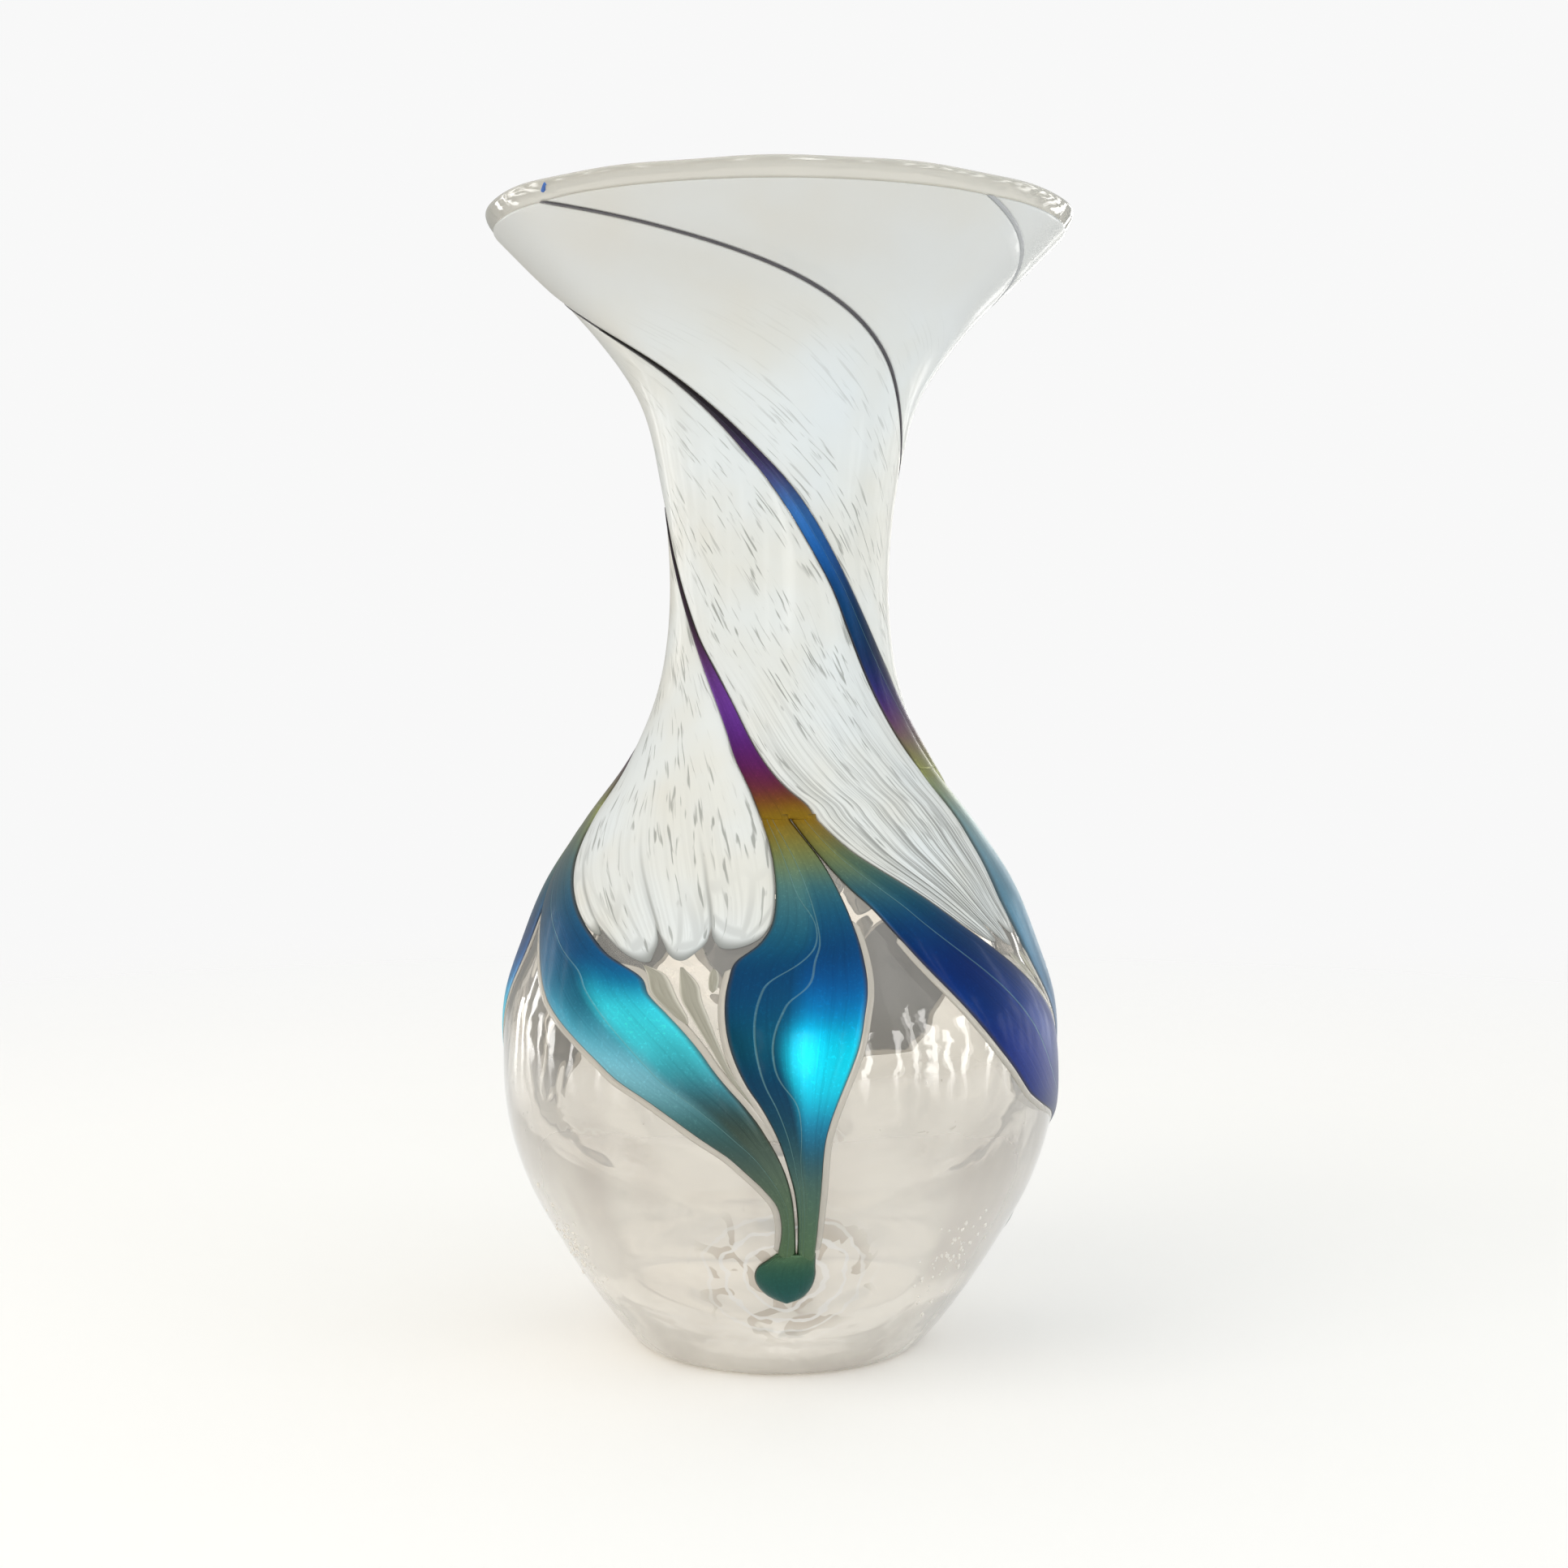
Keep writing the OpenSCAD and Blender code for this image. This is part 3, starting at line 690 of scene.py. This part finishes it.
CLEAR = clear_glass_material(
    "clear_blown_glass", (0.935, 0.895, 0.825, 1.0), 0.5, (0.42, 0.88), 1.0, marked=True
)
CLEAR_INSIDE = clear_glass_material("clear_inner_glass", (0.985, 0.98, 0.965, 1.0), 0.0, (1.0, 1.0), 0.0)
CLEAR_LIP = clear_glass_material("clear_lip_glass", (0.76, 0.75, 0.70, 1.0), 0.4, (0.5, 0.5), 0.6)
CLEAR_RIM = clear_glass_material("clear_rim_glass", (0.7, 0.67, 0.61, 1.0), 0.1, (0.5, 0.5), 0.2)
SEED = clear_glass_material("seed_glass", (0.98, 0.96, 0.92, 1.0), 0.0, (0.5, 0.5), 1.0)
# The unfumed inner side of a feather
BACK = clouded_material("feather_back", 60.0, 3.0, paint(40, 43, 32), paint(66, 68, 55), 0.35)
BLUE = clouded_material("blue_fleck_glass", 900.0, 2.0, paint(20, 60, 150), paint(70, 130, 205), 0.1, 0.6)


# ---- clear glass body
BODY_COLS = 240
OUTER_ROW = 1.25
# The foot's rounding ends at this height, and takes these extra rows
FOOT_TOP, FOOT_ROWS = 1.5, [0.3, 0.8]
# The body stops this far below the lip
LIP_GAP = 0.05
# Points nearer the axis than these are left out, because one point on it stands for them
UNDER_POLE, CAVITY_POLE = 0.5, 0.3
FOLD_MM = 0.16
RING_HEIGHT, RING_MM, RING_REACH = 0.2, 4.6, 24.0


def surface_wave(angle, z):
    """How far the blown surface stands off its plain outline: soft upward pulls, and rings round a drop."""
    a = math.radians(angle)
    pulls = 0.5 * math.sin(9 * a + z / 21) + 0.32 * math.sin(17 * a - z / 13 + 1.7)
    pulls += 0.25 * math.sin(5 * a + z / 34)
    off = FOLD_MM * pulls * ease(z, 6, 30) * (1 - ease(z, 95, 135))
    for centre, height in DROPS:
        side = (angle - centre + 180) % 360 - 180
        if abs(side) < 60:
            away = math.hypot(math.radians(side) * outer_r(z) * 0.8, z - height)
            if away < RING_REACH:
                off += RING_HEIGHT * math.cos(2 * math.pi * away / RING_MM) * (1 - away / RING_REACH) ** 2
    return off


# Angles of the low clusters of seeds
SEED_CLUSTERS = (-60, 46, 128, -130)
CLUSTER_SEEDS, CLUSTER_HEIGHT, CLUSTER_SPREAD, CLUSTER_SIZES = 64, 29, 5, (0.25, 0.6)
LOOSE_SEEDS, LOOSE_HEIGHTS, LOOSE_DEPTHS, LOOSE_SIZES = 60, (24, 100), (1.1, 2.9), (0.1, 0.26)


def seed_spots():
    """Seeds as (angle, radius, height, size, raised). Those in the low clusters raise the glass's skin."""
    spots = []
    for centre in SEED_CLUSTERS:
        for _ in range(CLUSTER_SEEDS):
            z = rng.gauss(CLUSTER_HEIGHT, CLUSTER_SPREAD)
            size = rng.uniform(*CLUSTER_SIZES)
            angle = centre + rng.gauss(0, CLUSTER_SPREAD)
            spots.append((angle, outer_r(z) - 0.45 * size, z, size, True))
    for _ in range(LOOSE_SEEDS):
        z = rng.uniform(*LOOSE_HEIGHTS)
        angle = rng.uniform(0, 360)
        r = outer_r(z) - rng.uniform(*LOOSE_DEPTHS)
        spots.append((angle, r, z, rng.uniform(*LOOSE_SIZES), False))
    return spots


def glass_body():
    ground = [(r, z) for r, z in under_face if r > UNDER_POLE]
    top = LIP_Z - LIP_GAP
    heights = FOOT_ROWS + list(np.linspace(FOOT_TOP, top, int((top - FOOT_TOP) / OUTER_ROW)))
    outline = [(0.0, ground[0][1])] + ground + [(None, z) for z in heights]
    inner = [(r, z) for z, r in reversed(cavity_wall) if z < top - 0.5 and r > CAVITY_POLE]
    outline += [(cavity_wall[-1][1], top)] + inner + [(0.0, cavity_wall[0][0])]
    verts, uvs, rings = [], [], []
    for r, z in outline:
        ring = []
        for j in range(1 if r == 0.0 else BODY_COLS):
            angle = 360 * j / BODY_COLS
            reach = outer_r(z) + surface_wave(angle, z) if r is None else r
            ring.append(len(verts))
            verts.append(place(angle, reach, z))
            uvs.append((angle / 360, z / LIP_Z))
        rings.append(ring)
    faces = lofted(rings)
    inside_from = BODY_COLS * (len(outline) - len(inner) - 2)
    slots = [0 if i < inside_from else 1 for i in range(len(faces))]
    add_seeds(verts, faces, uvs)
    slots += [2] * (len(faces) - len(slots))
    finished(
        "clear_glass_body", verts, faces, uvs, [CLEAR, CLEAR_INSIDE, SEED], slots,
        ["inner_gather", "outer_casing"],
    )


def add_seeds(verts, faces, uvs):
    """Small round seeds. A hollow inside the glass has its faces looking inwards, a raised one outwards."""
    shape = bmesh.new()
    bmesh.ops.create_icosphere(shape, subdivisions=2, radius=1.0)
    points = [tuple(v.co) for v in shape.verts]
    triangles = [tuple(v.index for v in f.verts) for f in shape.faces]
    shape.free()
    for angle, r, z, size, raised in seed_spots():
        centre = place(angle, r, z)
        first = len(verts)
        stretch = (1.0, 1.0, rng.uniform(1.0, 1.5))
        for p in points:
            verts.append(tuple(c + d * e * size * MM for c, d, e in zip(centre, p, stretch)))
            uvs.append((angle / 360 % 1, z / LIP_Z))
        for a, b, c in triangles:
            faces.append((first + a, first + b, first + c) if raised else (first + a, first + c, first + b))


# How much the lip's bead swells, and the share of its height by which it leans out
LIP_SWELL, LIP_LEAN = 0.35, 0.8


def clear_lip():
    """The rounded bead round the mouth, a little uneven as a hand-wrapped bit is."""
    lip_h = lip_box_high.z - LIP_Z
    inside, outside = cavity_wall[-1][1], outer_wall[-1][1]
    middle, half = (inside + outside) / 2, (outside - inside) / 2
    cols, steps = BODY_COLS, 28
    verts, uvs = [], []
    for i in range(cols):
        angle = 360 * i / cols
        a = math.radians(angle)
        uneven = 1.0 + 0.04 * math.sin(5 * a + 0.6) + 0.03 * math.sin(13 * a + 2.0)
        for j in range(steps):
            b = math.pi * j / (steps - 1)
            swell = 1 + LIP_SWELL * math.sin(b)
            r = middle + half * math.cos(b) * swell + LIP_LEAN * lip_h * math.sin(b)
            verts.append(place(angle, r, LIP_Z + lip_h * uneven * math.sin(b)))
            uvs.append((angle / 360, j / steps))
    rings = numbered(cols, steps)
    faces = lofted(rings[:1] + rings[::-1])
    finished("clear_lip_bead", verts, faces, uvs, [CLEAR_LIP], [0] * len(faces), ["lip_wrap"])


def blue_fleck():
    """A short curl of blue glass caught in the bead."""
    low, high = (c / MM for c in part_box("blue_fleck"))
    centre = (low + high) / 2
    size = (high.z - low.z) / 2
    turn = math.atan2(centre.x, -centre.y)
    cos, sin = math.cos(turn), math.sin(turn)
    verts, uvs = [], []
    rings, sides = 22, 12
    for i in range(rings):
        t = i / (rings - 1)
        s = (t - 0.5) * 2
        thick = size * (0.42 * dome(clamp(t, 0.02, 0.98)) + 0.04)
        dx = s * size * 0.85
        dz = size * (0.45 * math.sin(2.6 * s) + 0.1 * s)
        for j in range(sides):
            b = 2 * math.pi * j / sides
            out, up = thick * math.cos(b), thick * math.sin(b)
            x, y = centre.x + cos * dx + sin * out, centre.y + sin * dx - cos * out
            verts.append((x * MM, y * MM, (centre.z + dz + up) * MM))
            uvs.append((j / sides, t))
    loops = numbered(rings, sides)
    faces = lofted(loops[::-1]) + [tuple(loops[0]), tuple(loops[-1][::-1])]
    finished("blue_fleck_curl", verts, faces, uvs, [BLUE], [0] * len(faces), ["blue_fleck"])


# ---- applied pieces
# Thickness of a piece's very edge, and at the middle of each kind
EDGE_T = 0.03
LEAF_T, TAIL_T, TAIL_TIP_T, THREAD_T, DROP_T, CHIP_T, PANEL_T = 1.15, 1.1, 0.5, 0.36, 2.15, 0.6, 0.5
# How far a leaf runs on under its tail, and its stem into the drop
TUCK, STEM_TUCK = 1.2, 4.0
# Width and thickness of the clear rim along a leaf
RIM_W, RIM_T = 1.5, 0.34
# Where a leaf's two rims end, and where the one on its inner side starts
SLANTED_RIM_TOP, UPRIGHT_RIM_TOP, INNER_RIM_TOP, INNER_RIM_LOW = 104, 108, 98, 61
# Where across a tail's low end the two ridges part, and the share of its length over which they join
CROTCH, RIDGES_JOIN = 0.52, 0.14


def band_grid(band, rows, cols, thickness, power=2.2, past_low=0.0, past_high=0.0):
    """A lens-shaped grid between a band's edges. thickness is a function of the height."""
    grid = []
    for i in range(rows + 1):
        z = mix(band.low - past_low, band.high + past_high, i / rows)
        v = (z - band.low) / (band.high - band.low)
        left, right = band.edges(z)
        across = [half_wave(j / cols) for j in range(cols + 1)]
        grid.append([(mix(left, right, u), z, EDGE_T + thickness(z) * dome(u, power), u, v) for u in across])
    return grid


def leaf_piece(kind, k, material, slot_name):
    """A leaf, with a rim of clear glass along each edge that has clear bulb beside it."""
    band = bands[kind][k - 1]

    def thick(z):
        return LEAF_T - 0.12 * ease(z, band.high, band.high + TUCK)

    skins = Skins().add(band_grid(band, 150, 26, thick, past_low=STEM_TUCK, past_high=TUCK))
    outer_is_left = kind == "slanted_leaf"
    outer_top = SLANTED_RIM_TOP if outer_is_left else UPRIGHT_RIM_TOP
    skins.add(rim_grid(band, outer_is_left, band.low, outer_top), slot=2)
    skins.add(rim_grid(band, not outer_is_left, INNER_RIM_LOW, INNER_RIM_TOP), slot=2)
    skins.finish(f"iridescent_{kind}_{k}", [material, BACK, CLEAR_RIM], slot_name, [f"{kind}_{k}"])


def rim_grid(band, on_left, low, high, rows=70, cols=8):
    grid = []
    for i in range(rows + 1):
        t = i / rows
        z = mix(low, high, t)
        edge = band.edges(z)[0 if on_left else 1]
        wide = degrees_for(RIM_W * math.hypot(1, lean_of(band, on_left, z)), z) * (0.15 + 0.85 * dome(t, 6))
        start, end = (edge - wide, edge + 0.2 * wide) if on_left else (edge - 0.2 * wide, edge + wide)
        grid.append([
            (mix(start, end, j / cols), z, 0.02 + RIM_T * dome(j / cols) * dome(t, 6), j / cols, t)
            for j in range(cols + 1)
        ])
    return grid


def lean_of(band, on_left, z):
    """How far a band's edge runs sideways for each millimetre of wall it climbs."""
    side = 0 if on_left else 1
    turned = math.radians(band.edges(z + 0.5)[side] - band.edges(z - 0.5)[side])
    return turned * outer_r(z) / sideways(z)


def tail_piece(k, material):
    """A tail, whose low end has two ridges that run on from the two leaves below it."""
    band = bands["tail"][k - 1]

    def thick(z):
        return mix(TAIL_T, TAIL_TIP_T, (z - band.low) / (band.high - band.low))

    grid = band_grid(band, 170, 26, thick)
    for i, row in enumerate(grid):
        joined = ease(i / len(grid), 0.0, RIDGES_JOIN)
        for j, (angle, z, single, u, v) in enumerate(row):
            within = u / CROTCH if u < CROTCH else (u - CROTCH) / (1 - CROTCH)
            ridges = EDGE_T + LEAF_T * dome(within, 2.2)
            row[j] = (angle, z, mix(ridges, single, joined), u, v)
    Skins().add(grid).finish(f"iridescent_tail_{k}", [material, BACK], "iridescent_violet", [f"tail_{k}"])


def thread_piece(k, material):
    band = bands["thread"][k - 1]
    grid = band_grid(band, 200, 8, lambda z: THREAD_T)
    Skins().add(grid).finish(f"fine_thread_{k}", [material, material], "dark_thread", [f"thread_{k}"])


def drop_piece(k, material):
    """A round blob, thickest just below its middle."""
    band = bands["root_drop"][k - 1]
    middle, half = mix(band.low, band.high, 0.46), 0.54 * (band.high - band.low)

    def thick(z):
        swell = math.sqrt(max(0.0, 1 - ((z - middle) / half) ** 2))
        return DROP_T * mix(0.25, 1.0, swell)

    skins = Skins().add(band_grid(band, 48, 26, thick, 2.0))
    skins.finish(f"iridescent_root_drop_{k}", [material, BACK], "iridescent_teal", [f"root_drop_{k}"])


def chips_piece(k, material):
    skins = Skins()
    for points in islands(f"grey_fingers_{k}"):
        chip = Band(points)

        def thick(z, chip=chip):
            return 0.02 + CHIP_T * dome(clamp((z - chip.low) / (chip.high - chip.low), 0.02, 0.98))

        skins.add(band_grid(chip, 44, 14, thick))
    skins.finish(f"grey_chips_{k}", [material, material], "grey_translucent", [f"grey_fingers_{k}"])


# Hanging chips along each panel's low edge, as (end of the chip as a share across, height of its tip)
LOBES = {
    1: ((0.34, 101.0), (0.66, 99.5), (1.0, 102.0)),
    2: ((0.2, 102.5), (0.5, 99.0), (0.78, 100.0), (1.0, 103.0)),
    3: ((0.14, 103.5), (0.45, 98.8), (0.74, 99.6), (1.0, 102.5)),
    4: ((0.11, 103.5), (0.47, 98.6), (0.74, 99.4), (1.0, 102.2)),
}
# Height of the notches between the chips, and the space left beside and above a panel
LOBE_TOP, PANEL_GAP = 107.0, 0.15


def panel_edges(k, z):
    """Angles of panel k at a height: from feather k's right edge to the left edge of the next feather."""
    after = k % 4 + 1

    def edges_of(feather, leaf_kind, leaf):
        for kind in ("thread", "tail"):
            band = bands[kind][feather - 1]
            if z >= band.low:
                return band.edges(z)
        return bands[leaf_kind][leaf - 1].edges(z)

    left = edges_of(k, "slanted_leaf", after)[1]
    right = edges_of(after, "upright_leaf", after)[0]
    gap = degrees_for(PANEL_GAP, z)
    return left + gap, left + (right - left) % 360 - gap


def lobe_at(k, u):
    """Share across the chip at u, and how far the chip hangs below the notches."""
    start = 0.0
    for end, tip in LOBES[k]:
        if u <= end or end == 1.0:
            return clamp((u - start) / (end - start)), LOBE_TOP - tip
        start = end


def panel_piece(k, material):
    cols, rows = 96, 190
    top = LIP_Z - PANEL_GAP
    grid = []
    for i in range(rows + 1):
        t = i / rows
        share = mix(t, half_wave(t), 0.6)
        row = []
        for j in range(cols + 1):
            u = j / cols
            across, hang = lobe_at(k, u)
            lobe = dome(across, 2.2)
            z = mix(LOBE_TOP - hang * lobe, top, share)
            angle = mix(*panel_edges(k, z), u)
            puff = mix(0.15 + 0.85 * lobe, 1.0, ease(share, 0.0, 0.15))
            side = min(1.0, 3.2 * math.sqrt(min(u, 1 - u) + 1e-6))
            low_edge = mix(0.25, 1.0, ease(share, 0.0, 0.02))
            row.append((angle, z, 0.05 + PANEL_T * puff * side * low_edge, u, share))
        grid.append(row)
    Skins().add(grid).finish(f"opal_panel_{k}", [material, material], "opal_white", [f"white_panel_{k}"])


def shaded_side(tones):
    """The same stops in darker tones, as painted shade, apart from those at the junction."""
    shares = [0.62 if at > 0.05 else 1.0 for at, _ in tones]
    return [(at, tuple(c * share for c in tone[:3]) + (1.0,)) for share, (at, tone) in zip(shares, tones)]


def leaf_material(kind, k):
    """Feathers 2 and 3 lean the other way into the light, so their slanted leaves turn violet."""
    if kind == "upright_leaf":
        meets_full = k in (2, 4)
        plain = k == 2
        lit, shaded = (LEAF_LIT_B, LEAF_SHADED_B) if plain else (LEAF_LIT_A, LEAF_SHADED_A)
        split, seams = (MIDDLE, [LEAF_SEAM_B]) if plain else (LEAF_SPLIT_A, [LEAF_SEAM_A, LEAF_SEAM_A2])
    else:
        meets_full = k in (1, 3)
        lit, shaded = (SLANT_LIT_B, SLANT_SHADED_B) if k in (2, 3) else (SLANT_LIT_A, SLANT_SHADED_A)
        split, seams = SLANT_SPLIT, [SLANT_SEAM]
    junction = FULL_JUNCTION if meets_full else SLENDER_JUNCTION
    last = colours((0.985, *junction), (1.0, *junction))
    return iridescent_material(f"{kind}_glass_{k}", lit + last, shaded + last, split, seams)


glass_body()
clear_lip()
blue_fleck()
tail_slender = iridescent_material("slender_tail", TAIL_SLENDER, TAIL_SLENDER, MIDDLE)
# The full tails' right part takes the darker stops: painted shade
tail_full = iridescent_material("full_tail", shaded_side(TAIL_FULL), TAIL_FULL, MIDDLE, [MIDDLE])
drop_glass = iridescent_material("root_drop", DROP, DROP, MIDDLE, roughness=0.24)
thread_glass = thread_material("dark_thread", paint(58, 57, 64), paint(104, 101, 106))
veiled_thread = thread_material("veiled_thread", paint(166, 169, 173), paint(196, 198, 200))
chip_glass = grey_chip_material()
for k in FEATHERS:
    drop_piece(k, drop_glass)
    for kind in ("upright_leaf", "slanted_leaf"):
        leaf_piece(kind, k, leaf_material(kind, k), "iridescent_blue")
    tail_piece(k, tail_full if k in (2, 4) else tail_slender)
    thread_piece(k, veiled_thread if k == 4 else thread_glass)
    chips_piece(k, chip_glass)
    ends = [end for end, _ in LOBES[k]]
    panel_piece(k, opal_material(f"opal_panel_{k}", ends, 0.42 if k == 1 else 0.3, 0.9 if k == 1 else 0.1))


# ---- stage, light and camera
FLOOR_RADIUS = 1.3
# How much the floor glows for the camera, and for light that has passed into the glass
FLOOR_GLOW, FLOOR_GLOW_IN_GLASS = 0.09, 0.1


def stage_floor():
    """A pale round floor that fades into the backdrop."""
    rings, cols = 24, 96
    verts = [(0.0, 0.0, 0.0)]
    for i in range(1, rings + 1):
        r = FLOOR_RADIUS * (i / rings) ** 1.5
        angles = [2 * math.pi * j / cols for j in range(cols)]
        verts += [(r * math.cos(a), r * math.sin(a), 0.0) for a in angles]
    mesh = bpy.data.meshes.new("stage_floor")
    mesh.from_pydata(verts, [], lofted(numbered(rings, cols, 1)[::-1] + [[0]]))
    material, tree, _, _, position = new_material("stage_floor")
    away = node(tree, "VectorMath", {0: position}, operation="LENGTH").outputs["Value"]
    fade = step(tree, away, 0.25, 1.0)
    cloud = noise(tree, position, 3.0, 2.0)
    colour = blend(tree, cloud, (0.955, 0.952, 0.945, 1), (0.98, 0.977, 0.97, 1))
    pale = node(tree, "BsdfDiffuse", {"Color": colour})
    path = node(tree, "LightPath")
    inside = rays_in_glass(tree, path)
    straight = product(tree, path.outputs["Is Camera Ray"], FLOOR_GLOW)
    strength = calc(tree, "ADD", straight, product(tree, inside, FLOOR_GLOW_IN_GLASS))
    lift = node(tree, "Emission", {"Color": (1.0, 0.96, 0.89, 1), "Strength": strength})
    lifted = node(tree, "AddShader", {0: pale.outputs[0], 1: lift.outputs[0]})
    clear = node(tree, "BsdfTransparent")
    mixed = node(tree, "MixShader", {0: fade, 1: lifted.outputs[0], 2: clear.outputs[0]})
    close_material(material, tree, mixed.outputs[0])
    mesh.materials.append(material)
    floor = added("stage_floor", mesh)


# Columns of windows round the room, and their light
WINDOW_COLUMNS, WINDOW_LIGHT = 46.0, (3.4, 3.35, 3.25, 1)


def studio_world():
    """White all round for the camera and for soft light, and a plain room with windows for reflections."""
    world = bpy.data.worlds.new("studio")
    bpy.context.scene.world = world
    world.use_nodes = True
    tree = world.node_tree
    tree.nodes.clear()
    direction = node(tree, "TexCoord").outputs["Generated"]
    x, y, z = node(tree, "SeparateXYZ", {0: direction}).outputs
    turn = calc(tree, "DIVIDE", calc(tree, "ARCTAN2", x, y), 2 * math.pi)
    wobble = centred(tree, noise(tree, direction, 5.0, 3.0), 0.22)
    height = calc(tree, "ADD", z, wobble)
    room = ramp(tree, step_linear(tree, height, -1.0, 1.0), [
        (0.0, (0.62, 0.56, 0.48, 1)), (0.2, (0.74, 0.68, 0.60, 1)), (0.275, (0.82, 0.77, 0.70, 1)),
        (0.28, (0.44, 0.43, 0.41, 1)), (0.5, (0.36, 0.36, 0.34, 1)), (0.64, (0.5, 0.5, 0.48, 1)),
        (0.74, (0.74, 0.74, 0.73, 1)), (0.87, (0.92, 0.92, 0.92, 1)), (1.0, (1.0, 1.0, 1.0, 1)),
    ], "LINEAR")
    uneven = noise(tree, direction, 9.0, 2.0)
    columns = calc(tree, "ADD", product(tree, turn, WINDOW_COLUMNS), product(tree, uneven, 1.4))
    chance = node(tree, "TexWhiteNoise", {"W": calc(tree, "FLOOR", columns)}, noise_dimensions="1D")
    chances = node(tree, "SeparateColor", {0: chance.outputs["Color"]}).outputs
    within = calc(tree, "FRACT", columns)
    pane_top = calc(tree, "ADD", product(tree, chances[1], 0.45), -0.05)
    pane_foot = calc(tree, "ADD", product(tree, chances[2], 0.25), -0.42)
    pane = product(
        tree, step(tree, within, 0.2, 0.26), step(tree, within, 0.56, 0.66, 1.0, 0.0),
        calc(tree, "GREATER_THAN", chance.outputs["Value"], 0.35),
    )
    below, above = calc(tree, "LESS_THAN", height, pane_top), calc(tree, "GREATER_THAN", height, pane_foot)
    room = blend(tree, product(tree, pane, product(tree, below, above)), room, WINDOW_LIGHT)
    side = step_linear(tree, x, -1.0, 1.0)
    soft = blend(tree, side, (0.88, 0.84, 0.77, 1), (0.73, 0.78, 0.82, 1))
    through = ramp(tree, step_linear(tree, z, -1.0, 1.0), [
        (0.0, (0.95, 0.87, 0.77, 1)), (0.45, (1.06, 1.0, 0.91, 1)), (0.62, (1.1, 1.07, 1.01, 1)),
        (1.0, (1.02, 1.01, 0.99, 1)),
    ], "LINEAR")
    path = node(tree, "LightPath")
    seen = blend(tree, path.outputs["Is Diffuse Ray"], room, soft)
    seen = blend(tree, rays_in_glass(tree, path), seen, through)
    seen = blend(tree, path.outputs["Is Camera Ray"], seen, (0.94, 0.94, 0.94, 1))
    back = node(tree, "Background", {"Color": seen, "Strength": 1.0})
    node(tree, "OutputWorld", {"Surface": back.outputs[0]})


def soft_box(name, azimuth, elevation, distance, size, power, colour, glossy):
    """A soft light on a dome round the bulb, facing it."""
    a, e = math.radians(azimuth), math.radians(elevation)
    target = (cad_low + cad_high) / 2
    offset = (math.sin(a) * math.cos(e), -math.cos(a) * math.cos(e), math.sin(e))
    light = bpy.data.lights.new(name, "AREA")
    light.shape, light.size, light.size_y = "RECTANGLE", *size
    light.energy, light.color = power, colour
    lamp = added(name, light)
    lamp.location = [t + o * distance for t, o in zip(target, offset)]
    lamp.rotation_mode = "QUATERNION"
    lamp.rotation_quaternion = (target - lamp.location).to_track_quat("-Z", "Y")
    lamp.visible_camera = False
    lamp.visible_glossy = glossy


def studio_lights():
    soft_box("key_left", -50, 45, 1.3, (0.7, 0.9), 2.8, (1.0, 0.94, 0.86), False)
    soft_box("fill_right", 60, 20, 1.3, (0.5, 0.9), 1.2, (0.88, 0.95, 1.0), False)
    soft_box("front_strip", 10, 2, 1.1, (0.25, 0.35), 0.7, (1.0, 1.0, 1.0), True)


# The eye's distance in front of the vase, and its height as a share of the vase's
EYE_AWAY, EYE_HEIGHT = 0.570, 0.5985


def photo_camera():
    """Level with the neck and looking along +Y, framed downwards by the lens shift."""
    camera = bpy.data.cameras.new("camera")
    camera.lens, camera.sensor_width = 53.1, 36.0
    camera.shift_x, camera.shift_y = 0.003, -0.0748
    camera.clip_start, camera.clip_end = 0.01, 20.0
    eye = added("camera", camera)
    eye.location = (0.0, -EYE_AWAY, cad_high.z * EYE_HEIGHT)
    eye.rotation_euler = (math.radians(90), 0.0, 0.0)
    bpy.context.scene.camera = eye


stage_floor()
studio_world()
studio_lights()
photo_camera()

scene = bpy.context.scene
scene.view_settings.view_transform = "Standard"
scene.view_settings.look = "None"
scene.cycles.max_bounces = 24
scene.cycles.transmission_bounces = 16
scene.cycles.glossy_bounces = 8
scene.cycles.diffuse_bounces = 4
scene.cycles.transparent_max_bounces = 16
scene.cycles.sample_clamp_indirect = 4.0
scene.cycles.blur_glossy = 0.3
